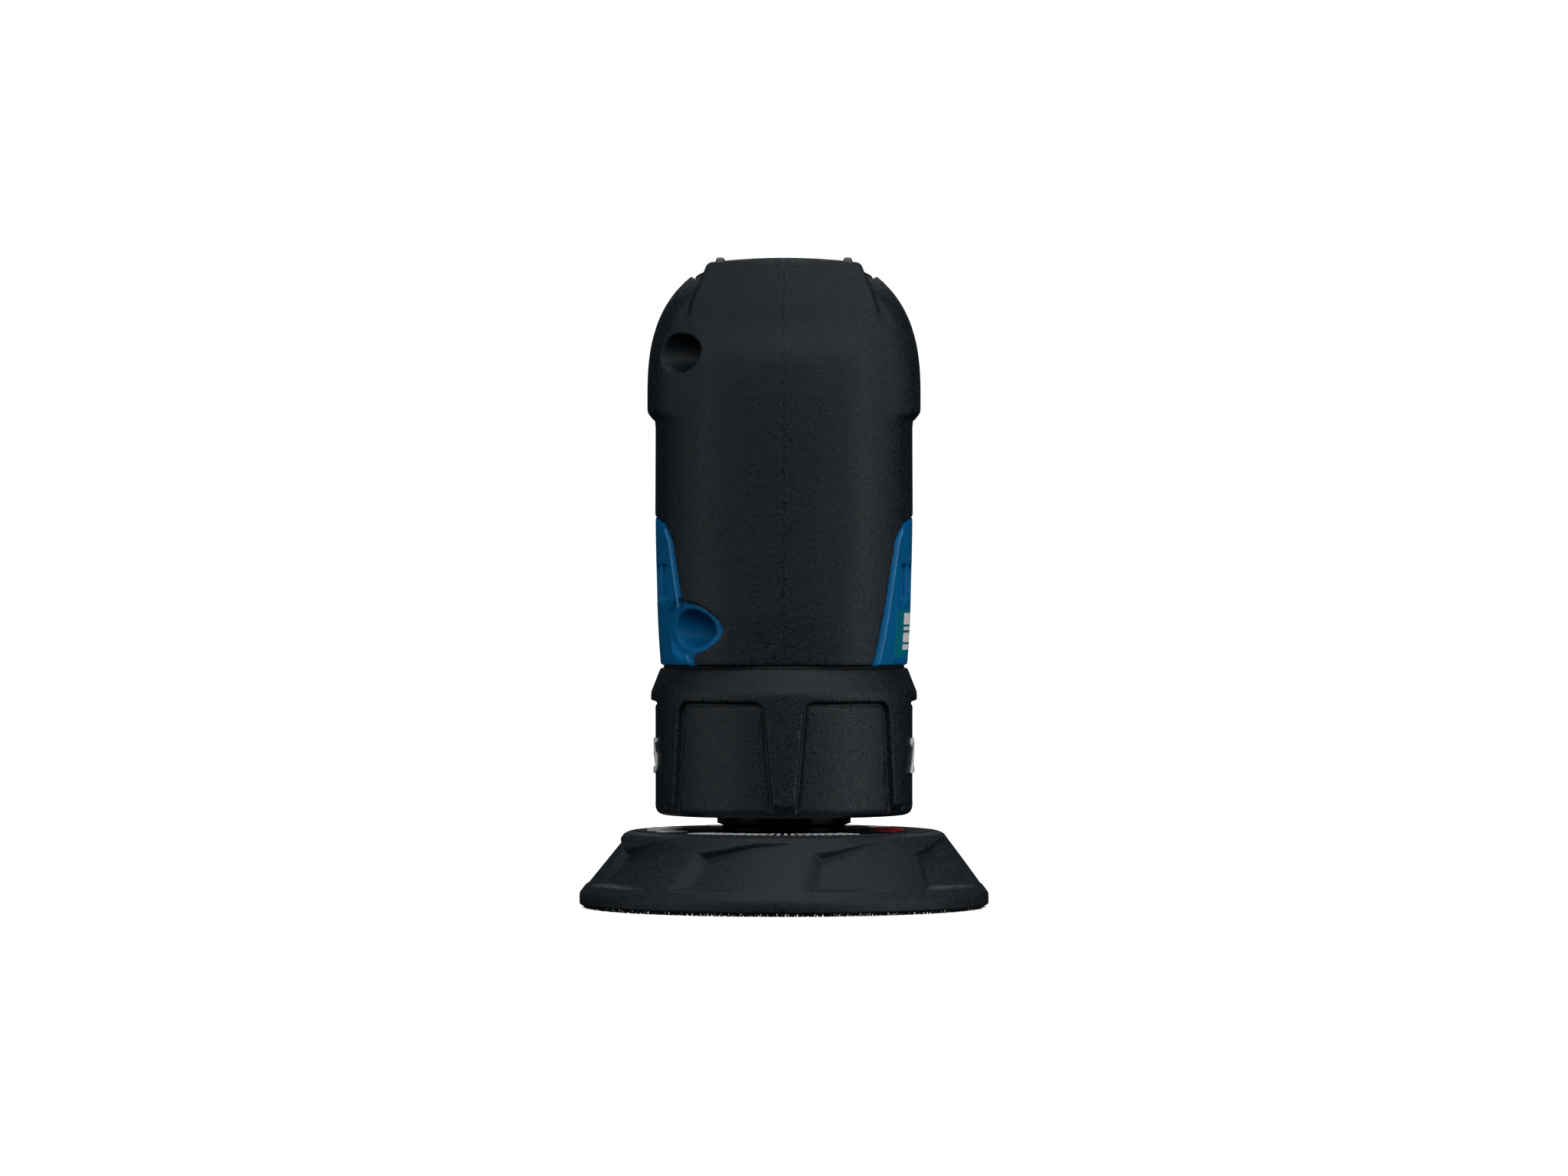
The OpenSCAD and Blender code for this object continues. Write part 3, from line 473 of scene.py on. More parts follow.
def edge_bead(side):
    """The fine bead along the front edge of a blue panel; on the left it stops at the screw ring."""
    inset, lift, thick, thin, pitch, sides = 0.75, 0.03, 0.24, 0.1, 0.25, 8
    bottom, top, barrel_r = 44.6, 69.4, 23.5
    runs = [(bottom, top)] if side > 0 else [(bottom, 46.4), (54.8, top)]
    edge_y, edge_z = zip(*PANEL[1:7])
    points, quads = [], []
    for low, high in runs:
        z = np.linspace(low, high, int((high - low) / pitch)).astype(np.float32)
        y = np.interp(z, edge_z, [v + inset for v in edge_y]).astype(np.float32)
        x = surface_x(y, z) + lift
        start, rings = len(points), len(z)
        for i in range(rings):
            size = thick if 0 < i < rings - 1 else thin
            nx, ny = x[i] / barrel_r, y[i] / barrel_r
            for q in range(sides):
                a = 2 * math.pi * q / sides
                out, along = size * math.cos(a), size * math.sin(a)
                points.append((side * (x[i] + out * nx - along * ny), y[i] + out * ny + along * nx, z[i]))
        quads += [face if side > 0 else face[::-1] for face in tube_faces(start, rings, sides)]
        for k, turned in ((0, side > 0), (rings - 1, side < 0)):
            a = start + k * sides
            for q in (1, 3, 5):
                face = (a, a + q, a + q + 1, a + q + 2)
                quads.append(face[::-1] if turned else face)
    return points, quads


# ------ materials


class Paint:
    """A Principled material and the nodes that drive it, in the piece's own coordinates in metres."""

    def __init__(self, name, metallic=0.0, specular=0.5):
        self.material = bpy.data.materials.new(name)
        self.material.use_nodes = True
        self.tree = self.material.node_tree
        self.shader = self.tree.nodes["Principled BSDF"]
        self.drive("Metallic", metallic)
        self.drive("Specular IOR Level", specular)
        self.where = self.node("ShaderNodeTexCoord", {}).outputs["Object"]
        self.normal = None

    def node(self, kind, inputs, **settings):
        """A new node with its settings and its inputs, these by name or number."""
        made = self.tree.nodes.new(kind)
        for key, value in settings.items():
            setattr(made, key, value)
        for socket, value in inputs.items():
            self.link(value, made.inputs[socket])
        return made

    def link(self, value, socket):
        """Joins an output to a socket, or sets the socket to a plain value."""
        if isinstance(value, bpy.types.NodeSocket):
            self.tree.links.new(value, socket)
        else:
            socket.default_value = value

    def drive(self, socket, value):
        self.link(value, self.shader.inputs[socket])

    def axes(self):
        """X, Y and Z in the piece, as three outputs."""
        return self.node("ShaderNodeSeparateXYZ", {0: self.where}).outputs

    def tint(self, colour, tone):
        """Drives the base colour with a colour times a tone."""
        look = {0: rgb(colour)[:3], "Scale": tone}
        self.drive("Base Color", self.node("ShaderNodeVectorMath", look, operation="SCALE").outputs[0])

    def spot(self, stretch):
        """Where a texture is read: the piece's coordinates, times a factor for each axis."""
        if stretch is None:
            return self.where
        look = {0: self.where, 1: stretch}
        return self.node("ShaderNodeVectorMath", look, operation="MULTIPLY").outputs[0]

    def noise(self, scale, detail, rough, stretch=None):
        look = {"Scale": scale, "Detail": detail, "Roughness": rough, "Vector": self.spot(stretch)}
        return self.node("ShaderNodeTexNoise", look).outputs["Fac"]

    def cells(self, scale, feature="F1"):
        look = {"Scale": scale, "Vector": self.where}
        return self.node("ShaderNodeTexVoronoi", look, feature=feature).outputs["Distance"]

    def math(self, operation, a, b=0.0):
        return self.node("ShaderNodeMath", {0: a, 1: b}, operation=operation).outputs[0]

    def scaled(self, value, low, high, from_low=0.0, from_high=1.0):
        """A value mapped from one range to another, held at its ends."""
        look = {"Value": value, "From Min": from_low, "From Max": from_high, "To Min": low, "To Max": high}
        return self.node("ShaderNodeMapRange", look).outputs["Result"]

    def mix(self, share, a, b):
        """A mix of two colours, each an output or an sRGB triple."""
        a, b = (rgb(value) if isinstance(value, tuple) else value for value in (a, b))
        return self.node("ShaderNodeMix", {"Factor": share, 6: a, 7: b}, data_type="RGBA").outputs[2]

    def bump(self, height, depth):
        """Adds a bump, depth in metres, on top of those already there."""
        look = {"Strength": 1.0, "Distance": depth, "Height": height}
        if self.normal is not None:
            look["Normal"] = self.normal
        self.normal = self.node("ShaderNodeBump", look).outputs["Normal"]
        self.drive("Normal", self.normal)

    def edges(self):
        """1 on outside edges and 0 elsewhere."""
        point = self.node("ShaderNodeNewGeometry", {}).outputs["Pointiness"]
        return self.scaled(point, 0.0, 1.0, 0.52, 0.6)


def rgb(colour):
    """An sRGB colour, 0 to 255, as a linear shader colour."""
    return tuple(((v / 255 + 0.055) / 1.055) ** 2.4 if v > 10 else v / 255 / 12.92 for v in colour) + (1,)


def moulded(name, colour, rough, grain, depth, fleck, specular=0.36):
    """Moulded plastic or rubber with a spark-eroded grain, a slight mottle, and outside edges made lighter
    and glossier: partly rubbed wear, partly a painted highlight along the edges.

    grain is the grain's scale per metre, depth its height in metres, fleck its share of the tone.
    """
    p = Paint(name, specular=specular)
    fine = p.noise(grain, 3.0, 0.7)
    broad = p.noise(90.0, 4.0, 0.6)
    tone = p.math("ADD", p.scaled(fine, 1 - fleck, 1 + fleck, 0.3, 0.7), p.scaled(broad, -0.06, 0.06))
    # outside edges made lighter and glossier: partly rubbed wear, partly a painted highlight along the edges
    wear_and_edge_highlight = p.edges()
    tone = p.math("ADD", tone, p.math("MULTIPLY", wear_and_edge_highlight, 0.22))
    p.tint(colour, tone)
    uneven = 0.3 * fleck
    gloss = p.scaled(fine, rough - uneven, rough + uneven, 0.3, 0.7)
    gloss = p.math("ADD", gloss, p.scaled(broad, -0.03, 0.03))
    p.drive("Roughness", p.math("SUBTRACT", gloss, p.math("MULTIPLY", wear_and_edge_highlight, 0.08)))
    p.bump(fine, depth)
    return p


# ------ turned pieces


def turned_field(f, profile, centre_y, soften):
    """Distance to a solid of revolution about Z from its outline in (radius, z), blurred by soften."""
    rho = np.hypot(f.x, f.y - centre_y)[:, :, 0]
    h = 0.1
    r = np.arange(0, rho.max() + 2 * h, h, dtype=np.float32)[:, None]
    table = polygon_field(r, f.z[0, 0][None, :], profile)
    for axis, pitch in ((0, h), (1, f.step)):
        reach = max(1, int(round(2 * soften / pitch)))
        t = np.arange(-reach, reach + 1) * pitch
        kernel = np.exp(-(t**2) / (2 * soften**2))
        kernel /= kernel.sum()
        wide = [(0, 0), (0, 0)]
        wide[axis] = (reach, reach)
        table = np.apply_along_axis(np.convolve, axis, np.pad(table, wide, mode="edge"), kernel, "valid")
    i = np.minimum((rho / h).astype(np.int32), len(r) - 2)
    share = (rho / h - i)[:, :, None].astype(np.float32)
    return table[i] * (1 - share) + table[i + 1] * share


def around(f, centre_y):
    """Radius and angle from -Y towards +X, in degrees."""
    rho = np.hypot(f.x, f.y - centre_y) + 0 * f.z
    return rho, np.degrees(np.arctan2(f.x, -(f.y - centre_y))) + 0 * f.z


def collar_piece():
    """The twist collar with its six grip panels."""
    f = Field((-25.2, -25.2, COLLAR_LOW - 0.8), (25.2, 25.2, COLLAR_TOP + 0.8), 0.22)
    profile = [
        (21.3, 19.4), (18.5, 18.6), (18.5, 17.6), (19.1, 17), (22.2, 17), (23.1, 17.4), (23.6, 18.4),
        (24.4, 19.3), (24.4, 39.3), (22.6, 43.87), (21.3, 43.87), (21.3, 41.5), (22, 41.2), (22, 39.1),
        (21.3, 38.8),
    ]
    body = turned_field(f, profile, 0, 0.15)
    rho, angle = around(f, 0)
    mm = math.radians(COLLAR_R)  # millimetres per degree at the rim
    s = np.abs((angle + 360) % 60 - 30) * mm
    half = np.interp(f.z, [19, 37.5], [25.5, 21.7]) * mm
    inside = (half - s) * 0.99
    below = 38.0 - f.z
    corner = 2.2  # radius of a panel's upper corners
    edge = corner - np.hypot(np.maximum(corner - inside, 0), np.maximum(corner - below, 0))
    edge = np.where((inside < corner) & (below < corner), edge, np.minimum(inside, below))
    depth = np.interp(edge, [0, 0.32, 0.8, 1.05], [0, 1.15, 1.15, 0.85]).astype(np.float32)
    return f.mesh(smooth_max(body, (rho - COLLAR_R + depth) * 0.7, 0.15))


def pad_piece():
    """The foam pad: a rim, a cone with nine swept vanes and a rounded shoulder."""
    r = PAD_R + 0.6
    f = Field((-r, SPINDLE_Y - r, -0.2), (r, SPINDLE_Y + r, PAD_TOP + 0.5), 0.25)
    profile = [
        (12, 8), (12, 1.26), (36.5, 1.26), (36.7, 0.7), (37.3, 0.5), (37.5, 0.7), (37.5, 2.8),
        (30.3, 12.3), (29.5, 13.5), (28.2, 14.05), (27.2, 14.05), (27.2, 13.8), (12, 13.8),
    ]
    body = turned_field(f, profile, SPINDLE_Y, 0.12)
    rho, angle = around(f, SPINDLE_Y)
    low, high = 4.4, 12.8
    wall = 4.3 + (f.z - low) / (high - low) * 6.9
    u = (angle - wall + 720) % 40
    mm = np.radians(PAD_R - 4)
    ramp = u * mm / np.interp(f.z, [low, high], [3.4, 1.9])
    fade = 1 - (u - 6) / 28
    top = high - 1.5 * np.clip(1 - (u - 3) / 16, 0, 1) - f.z
    floor = np.minimum(np.minimum(ramp, fade), np.minimum(top / 1.6, (f.z - low) / 0.5))
    lip = np.where(floor > 0, floor, np.maximum(floor, -1))
    depth = 1.5 * np.clip(lip, 0, 1)
    cone = (rho - 37.5) * 0.796 + (f.z - 2.8) * 0.605
    return f.mesh(smooth_max(body, cone + depth, 0.2))


def paddle_piece():
    """The long switch paddle: a crowned plate with two ribs and finger grooves."""
    f = Field((-17.8, -13.2, 109.6), (17.8, 58.8, 119), 0.25)
    x, y, z = f.x, f.y, f.z
    plan = polygon_field(x, y, PADDLE_PLAN)
    arch = [0, 5, 11, 13.2, 15, 16.5], [116.9, 116.88, 116.7, 116.35, 115.6, 115.2]
    crown = np.interp(np.abs(x), *arch).astype(np.float32)
    skirt = np.interp(np.abs(x), [14.6, 15], [PADDLE_FOOT + 3.8, 113.6]).astype(np.float32)
    plate = smooth_max(smooth_max(plan + 0 * z, z - crown, 0.6), skirt - z, 0.4)
    under = smooth_max(plan + 0 * z, np.where(np.abs(x) < 14.8, 114.3, 113.6) - z, 0.3)
    plate = np.maximum(plate, under)
    ridge = [(-9.8, 117.0), (-8.8, 118.4), (-6, 118.75), (10, 118.5), (34, 117.4), (41, 116.3)]
    rib_top = curve(y, ridge, 0.8)
    rib = smooth_max(np.abs(np.abs(x) - 11.6) - 0.85 + 0 * y, z - rib_top, 0.7)
    rib = smooth_max(rib, np.abs(y - 15.5) - 25.5, 1.0)
    rib = np.maximum(rib, 115 - z)
    plate = smooth_min(plate, rib, 0.5)
    for i in range(6):
        groove = np.hypot(y - 22 - 5 * i, z - 117.7) - 1.25
        plate = smooth_max(plate, -np.maximum(groove, np.abs(x) - 9), 0.4)
    pin_y, pin_z, lug_r = -7.5, 112.8, 2.3
    pin = np.hypot(y - pin_y, z - pin_z)
    web = np.maximum(np.abs(y - pin_y) - lug_r, np.maximum(pin_z - z, z - 115.2))
    lug = np.maximum(np.minimum(pin - lug_r, web), np.abs(np.abs(x) - 13.5) - 1.6)
    plate = smooth_min(plate, lug, 0.4)
    return f.mesh(np.maximum(plate, 1.55 - pin))


# centres of the battery's three cells in (x, z), and the case's radius round them
CELLS = [(-9.35, 76.45), (9.35, 76.45), (0, 92.55)]
CASE_R = 10.45


def cap_piece():
    """The rear block of the battery: the handle's section with a rounded end."""
    f = Field((-25, HANDLE_END - 0.6, HANDLE_LOW - 0.9), (25, CAP_END + 0.9, 116), STEP)
    x, y, z = f.x, f.y, f.z
    section = body_field(np.abs(x), np.minimum(y, HANDLE_END - 6), z)
    draft = np.interp(y, [96, 108, 118], [0.05, 0.15, 0.7]).astype(np.float32)
    block = smooth_max(section + draft, y - CAP_END, 7)
    block = smooth_max(block, HANDLE_END + 0.35 - y, 0.8)
    parting = np.maximum(np.abs(y - 99.6) - 0.35, -(section + draft + 0.45))
    block = smooth_max(block, -parting, 0.2)
    case = polygon_field(x, z, CELLS) - CASE_R - 0.1
    block = np.maximum(block, -np.maximum(case + 0 * y, y - 104.1))
    seat = box_field(np.abs(x), y, z, (17.9, 105.1, 77.2), (40, 113.7, 90.8), 0.9)
    block = smooth_max(block, -seat, 0.7)
    for i in range(-2, 3):
        rib = np.hypot(np.maximum(np.abs(z - 87) - 18 + 1.5 * abs(i), 0), x - 6 * i) - 0.9
        block = smooth_max(block, -np.maximum(rib + 0 * y, CAP_END - 1.1 - y), 0.6)
    return f.mesh(block)


def button_piece(side):
    """A release button with four finger grooves."""
    low, high = low_high("release_button_right")
    f = Field(low - 0.6, high + 0.6, 0.15)
    button = box_field(f.x, f.y, f.z, low, high, 0.7)
    bulge = f.x - high[0] + ((f.z - (low[2] + high[2]) / 2) / 13) ** 2 * 1.2
    button = smooth_max(button, bulge + 0 * f.y, 0.5)
    for i in range(4):
        z = low[2] + 2 + 3 * i
        groove = np.hypot(f.x - high[0] - 0.2, f.z - z) - 0.75
        button = smooth_max(button, -groove + 0 * f.y, 0.3)
    surface = f.mesh(button)
    return surface if side > 0 else mirrored(*surface)


def dial_piece():
    """The speed wheel: two knurled rims and a smooth band that carries the numbers."""
    f = Field(dial_low - 0.6, dial_high + 0.6, 0.12)
    rho = np.hypot(f.y - DIAL_Y, f.z - DIAL_Z)
    angle = np.degrees(np.arctan2(f.y - DIAL_Y, f.z - DIAL_Z))
    tooth = np.abs((angle + 720) % 15 - 7.5) / 7.5
    rim = DIAL_R - 0.7 * np.clip(1.6 * (1 - tooth) - 0.3, 0, 1)
    outer = np.where(np.abs(f.x) < 1.75, DIAL_R - BAND_IN, rim.astype(float))
    wheel = smooth_max(rho - outer, np.abs(f.x) - 2.7 + 0 * rho, 0.4)
    dish = np.maximum(rho - 4.6, 2.0 - np.abs(f.x))
    wheel = smooth_max(wheel, -dish, 0.3)
    return f.mesh(np.maximum(wheel, 1.56 - rho))


# ------ small pieces


def hook_piece():
    """The hook layer: a woven backing with rows of small bent hooks under it."""
    rng = np.random.default_rng(7)
    feet, points, quads = [], [], []
    pitch, row_pitch, stray, sides = 1.15, 0.866, 0.25, 4
    lines = int(HOOK_R / pitch / row_pitch) + 1
    for j in range(-lines, lines + 1):
        for i in range(-lines - 8, lines + 9):
            hx = (i + 0.5 * (j % 2)) * pitch + rng.uniform(-stray, stray)
            hy = j * pitch * row_pitch + rng.uniform(-stray, stray)
            if math.hypot(hx, hy) < HOOK_R - 0.9:
                feet.append((hx, hy))
    for inset, count in ((0.25, 520), (0.7, 420)):
        for i in range(count):
            a = 2 * math.pi * (i + rng.uniform(-0.3, 0.3)) / count
            r = HOOK_R - inset + rng.uniform(-0.1, 0.1)
            feet.append((r * math.cos(a), r * math.sin(a)))
    for hx, hy in feet:
        lean, turn = rng.uniform(0.15, 0.4), rng.uniform(0, 2 * math.pi)
        path = [(0, 0.75), (0.0, 0.4), (0.35 * lean, 0.18), (0.9 * lean, 0.06), (1.4 * lean, 0.16)]
        start = len(points)
        for k, (out, z) in enumerate(path):
            thick = 0.12 if k < 4 else 0.07
            for q in range(sides):
                a = turn + 2 * math.pi * q / sides
                px = hx + out * math.cos(turn) + thick * math.cos(a)
                py = hy + out * math.sin(turn) + thick * math.sin(a)
                points.append((px, SPINDLE_Y + py, z + (0.05 * math.cos(a - turn) if k > 1 else 0)))
        quads += [face[::-1] for face in tube_faces(start, len(path), sides)]
        end = start + (len(path) - 1) * sides
        quads.append((end + 3, end + 2, end + 1, end))
        quads.append((start, start + 1, start + 2, start + 3))
    n = 160
    turns = [2 * math.pi * i / n for i in range(n)]
    circle = [(HOOK_R * math.cos(a), HOOK_R * math.sin(a)) for a in turns]
    start = len(points)
    for z, share in ((1.22, 0.0), (1.22, 0.999), (0.7, 0.999), (0.6, 0.99), (0.6, 0.0)):
        points += [(share * a, SPINDLE_Y + share * b, z) for a, b in circle]
    for k in range(4):
        for i in range(n):
            a, b = start + k * n + i, start + k * n + (i + 1) % n
            quads.append((a, a + n, b + n, b))
    return new_mesh("hook_layer_hooks", points, (), quads)


def glyphs(name, text, wide, tall, place, thick=0.06):
    """Flat characters, moved point by point by place(u, v, w), where w is the height above the surface."""
    curve_data = bpy.data.curves.new(name, "FONT")
    curve_data.body, curve_data.size = text, tall * MM
    curve_data.align_x, curve_data.align_y = "CENTER", "CENTER"
    curve_data.extrude = thick * MM / 2
    curve_data.resolution_u = 4
    holder = add(name + "_flat", curve_data)
    mesh = bpy.data.meshes.new_from_object(holder.evaluated_get(bpy.context.evaluated_depsgraph_get()))
    bpy.data.objects.remove(holder)
    work = bmesh.new()
    work.from_mesh(mesh)
    bmesh.ops.remove_doubles(work, verts=work.verts, dist=1e-6)
    bmesh.ops.triangulate(work, faces=work.faces)
    for _ in range(3):
        long = [e for e in work.edges if e.calc_length() > 0.9 * MM]
        if not long:
            break
        bmesh.ops.subdivide_edges(work, edges=long, cuts=1)
        bmesh.ops.triangulate(work, faces=work.faces)
    ends = [(min(v.co[i] for v in work.verts), max(v.co[i] for v in work.verts)) for i in (0, 1)]
    for v in work.verts:
        a, b = ((v.co[i] - low) / (high - low) - 0.5 for i, (low, high) in enumerate(ends))
        v.co = Vector(place(wide * a, tall * b, v.co.z / MM + thick / 2)) * MM
    bmesh.ops.recalc_face_normals(work, faces=work.faces)
    work.to_mesh(mesh)
    work.free()
    return add(name, mesh)


# ------ finishes by material slot


def metal(name, colour, rough, lines=(1, 1, 1), scale=900.0, depth=0.000004):
    """Bare metal with fine tool marks of this scale per metre: lines squeezes them axis by axis."""
    p = Paint(name, metallic=1.0)
    marks = p.noise(scale, 4.0, 0.6, stretch=lines)
    smear = p.noise(60.0, 3.0, 0.6)
    tone = p.math("ADD", p.scaled(marks, 0.9, 1.08, 0.3, 0.7), p.scaled(smear, -0.08, 0.08))
    p.tint(colour, tone)
    gloss = p.scaled(marks, rough - 0.06, rough + 0.08)
    p.drive("Roughness", p.math("ADD", gloss, p.scaled(smear, -0.05, 0.05)))
    p.bump(marks, depth)
    return p


def layered(name, colour, rough, pitch, dark, light, depth):
    """Bare metal in thin layers up the piece, such as iron sheets or strands of wire."""
    p = metal(name, colour, rough)
    wave = p.math("SINE", p.math("MULTIPLY", p.axes()[2], 2 * math.pi / pitch))
    layer = p.scaled(wave, 0.0, 1.0, -0.1, 0.9)
    p.drive("Base Color", p.mix(layer, dark, light))
    p.bump(layer, depth)
    return p


BLACKENED = ("paddle_pin", "backing_plate")
BLUE, TEAL = (0, 101, 158), (0, 120, 143)
WHITE, BLACK = (250, 250, 252), (15, 26, 32)

# by slot: what moulded, metal or layered is given after the name
MOULDED = {
    "grip_black": (BLACK, 0.5, 2100, 0.00014, 0.85),
    "collar_black": (BLACK, 0.44, 2100, 0.00016, 0.85),
    "pad_grey": ((17, 28, 34), 0.56, 1900, 0.00014, 0.7),
    "cap_black": (BLACK, 0.5, 2400, 0.00003, 0.3),
    "paddle_black": ((20, 24, 27), 0.44, 2600, 0.00002, 0.25),
    "dial_black": ((26, 28, 30), 0.42, 2600, 0.00002, 0.2),
    "case_black": ((30, 32, 34), 0.45, 2000, 0.00002, 0.2),
    "switch_black": ((24, 25, 27), 0.4, 1800, 0.00001, 0.15),
    "fan_black": ((26, 28, 30), 0.5, 1500, 0.00002, 0.2),
    "seal_rubber": ((20, 21, 22), 0.6, 1500, 0.00002, 0.2),
    "cover_black": ((24, 27, 30), 0.36, 3000, 0.00001, 0.15),
    "hook_black": ((7, 9, 11), 0.6, 2600, 0.00002, 0.3),
    "button_blue": (BLUE, 0.45, 2600, 0.000015, 0.1),
    "plunger_red": ((150, 22, 18), 0.35, 1500, 0.00001, 0.1),
    "wire_red": ((160, 24, 18), 0.4, 1200, 0.00001, 0.1),
}
METAL = {
    "spindle_black": ((26, 27, 29), 0.36, (0.3, 0.3, 4), 700),
    "screw_steel": ((120, 122, 125), 0.3),
    "bearing_steel": ((200, 202, 205), 0.16, (0.4, 0.4, 3), 800),
    "spring_steel": ((150, 152, 155), 0.24),
    "hub_steel": ((140, 142, 145), 0.3, (0.4, 0.4, 4), 800),
    "weight_steel": ((110, 111, 114), 0.38, (0.5, 0.5, 3), 600),
    "bracket_alloy": ((165, 167, 168), 0.42, (1, 1, 1), 500, 0.00002),
    "plate_alloy": ((170, 172, 174), 0.28, (0.3, 0.3, 3), 800),
    "magnet_iron": ((170, 168, 162), 0.28),
    "contact_brass": ((205, 165, 90), 0.25, (3, 0.4, 0.4), 800),
}
LAYERED = {
    "stator_iron": ((105, 104, 102), 0.4, 0.0005, (58, 56, 54), (128, 126, 122), 0.00006),
    "copper_wire": ((190, 100, 45), 0.26, 0.0006, (84, 34, 14), (205, 112, 54), 0.00012),
}
# materials that are not named after their slot
NAMES = {
    "grip_black": "soft_grip_black", "pad_grey": "pad_foam_grey", "cover_black": "cover_film_black",
    "hook_black": "hook_nylon_black", "spindle_black": "spindle_blackened", "magnet_iron": "magnet_nickel",
}


def finishes():
    """Every material slot of the record, by name."""
    made = {}
    for make, table in ((moulded, MOULDED), (metal, METAL), (layered, LAYERED)):
        for slot, look in table.items():
            made[slot] = make(NAMES.get(slot, slot), *look)
    made.update(shell_blue=shell_paint(), cell_can=cell_paint())
    made.update(board_green=board_paint(), capacitor_sleeve=sleeve_paint())
    return {slot: p.material for slot, p in made.items()}


def between(p, value, low, high):
    """1 where a value lies between two limits."""
    return p.math("MULTIPLY", p.math("GREATER_THAN", value, low), p.math("LESS_THAN", value, high))


def shell_paint():
    """Blue moulded plastic, with a printed teal field and plain white bars on the right side."""
    p = moulded("shell_blue", BLUE, 0.45, 2600, 0.000015, 0.1, 0.25)
    p.drive("Specular Tint", (0.4, 0.8, 1, 1))
    x, y, z = p.axes()
    right = p.math("GREATER_THAN", x, 0.012)
    field = p.math("MULTIPLY", between(p, y, -0.0127, 0.030), between(p, z, 0.0459, 0.0546))
    field = p.math("MULTIPLY", field, right)
    bars = between(p, z, 0.0518, 0.0539)
    for low, high in ((0.0508, 0.0514), (0.0486, 0.0503), (0.0472, 0.0482)):
        bars = p.math("MAXIMUM", bars, between(p, z, low, high))
    bars = p.math("MULTIPLY", p.math("MULTIPLY", bars, right), between(p, y, -0.0077, 0.026))
    base = p.shader.inputs["Base Color"].links[0].from_socket
    base = p.mix(field, base, TEAL)
    p.drive("Base Color", p.mix(bars, base, WHITE))
    return p


def cell_paint():
    """A battery cell in a shrink sleeve, with bare ends."""
    p = moulded("cell_sleeve", (52, 78, 96), 0.3, 900, 0.00001, 0.08, 0.5)
    can = p.scaled(p.axes()[1], 0.0, 1.0, 0.1019, 0.1021)
    p.drive("Base Color", p.mix(can, (52, 82, 104), (176, 178, 180)))
    p.drive("Metallic", can)
    return p


def board_paint():
    """A circuit board with tracks under its green mask."""
    p = moulded("board_green", (12, 78, 44), 0.32, 1200, 0.00001, 0.08)
    track = p.scaled(p.cells(260, "DISTANCE_TO_EDGE"), 1.0, 0.0, 0.02, 0.06)
    dots = p.scaled(p.cells(520), 1.0, 0.0, 0.12, 0.16)
    green = p.mix(track, (10, 66, 38), (28, 112, 66))
    p.drive("Base Color", p.mix(dots, green, (176, 170, 140)))
    p.bump(track, 0.00003)
    return p


def sleeve_paint():
    """A capacitor's dark blue sleeve with a pale stripe."""
    p = moulded("capacitor_sleeve", (24, 30, 58), 0.3, 900, 0.00001, 0.1)
    stripe = p.math("MULTIPLY", p.math("GREATER_THAN", p.axes()[2], 0.0768), 0.8)
    p.drive("Base Color", p.mix(stripe, (24, 30, 58), (150, 156, 170)))
    return p


def print_paint(name, colour):
    """Slightly worn screen print."""
    p = Paint(name)
    wear_and_edge_highlight = p.scaled(p.noise(1800, 3.0, 0.7), 0.86, 1.0, 0.35, 0.5)
    p.tint(colour, wear_and_edge_highlight)
    p.drive("Roughness", p.scaled(wear_and_edge_highlight, 0.6, 0.45, 0.8, 1.0))
    p.bump(p.noise(2600, 2.0, 0.6), 0.00001)
    return p.material


# ------ printed marks


def flat_marks(name, outlines, z):
    """Thin raised print on a level face: each outline is a closed ring of (x, y)."""
    thick = 0.1
    points, faces = [], []
    for outline in outlines:
        n, start = len(outline), len(points)
        points += [(a, b, z) for a, b in outline] + [(a, b, z + thick) for a, b in outline]
        faces.append([start + n + i for i in range(n)])
        faces.append([start + n - 1 - i for i in range(n)])
        for i in range(n):
            k = (i + 1) % n
            faces.append([start + i, start + k, start + n + k, start + n + i])
    mesh = bpy.data.meshes.new(name)
    mesh.from_pydata([Vector(p) * MM for p in points], [], faces)
    mesh.update()
    return add(name, mesh)


def sector(r0, r1, a0, a1, steps):
    """A ring segment about the spindle, angles in degrees from -Y towards +X."""
    at = [math.radians(a0 + (a1 - a0) * i / steps) for i in range(steps + 1)]
    outer = [(r1 * math.sin(a), SPINDLE_Y - r1 * math.cos(a)) for a in at]
    inner = [(r0 * math.sin(a), SPINDLE_Y - r0 * math.cos(a)) for a in reversed(at)]
    return outer + inner


def disc_marks():
    """Generic marks on the pad's cover: a ring of ticks, a few bars and two red ones."""
    ticks = [sector(20.5 if i % 2 else 19.5, 26, 3 * i - 42, 3 * i - 40.6, 1) for i in range(25)]
    for a in (-116, -100, -84, -68, 128, 148, 160, 172, 184, 196, 208):
        ticks.append(sector(20, 25.2, a, a + 7, 3))
    red = [sector(17.5, 22, 62, 84, 5), sector(16.5, 22, 90, 112, 5)]
    return ticks, red


def on_collar(side):
    """Places a flat mark upright on one side of the collar's panels."""
    r = 23.55

    def place(u, v, w):
        a = side * math.pi / 2 + u / r
        return ((r + w) * math.sin(a), -(r + w) * math.cos(a), 27.9 + v)

    return place


def on_dial(turn):
    """Places a flat mark on the wheel's band, turned from the top towards the rear."""
    r = DIAL_R - BAND_IN

    def place(u, v, w):
        a = math.radians(turn) + v / r
        return (u, DIAL_Y + (r + w) * math.sin(a), DIAL_Z + (r + w) * math.cos(a))

    return place


# ------ the model


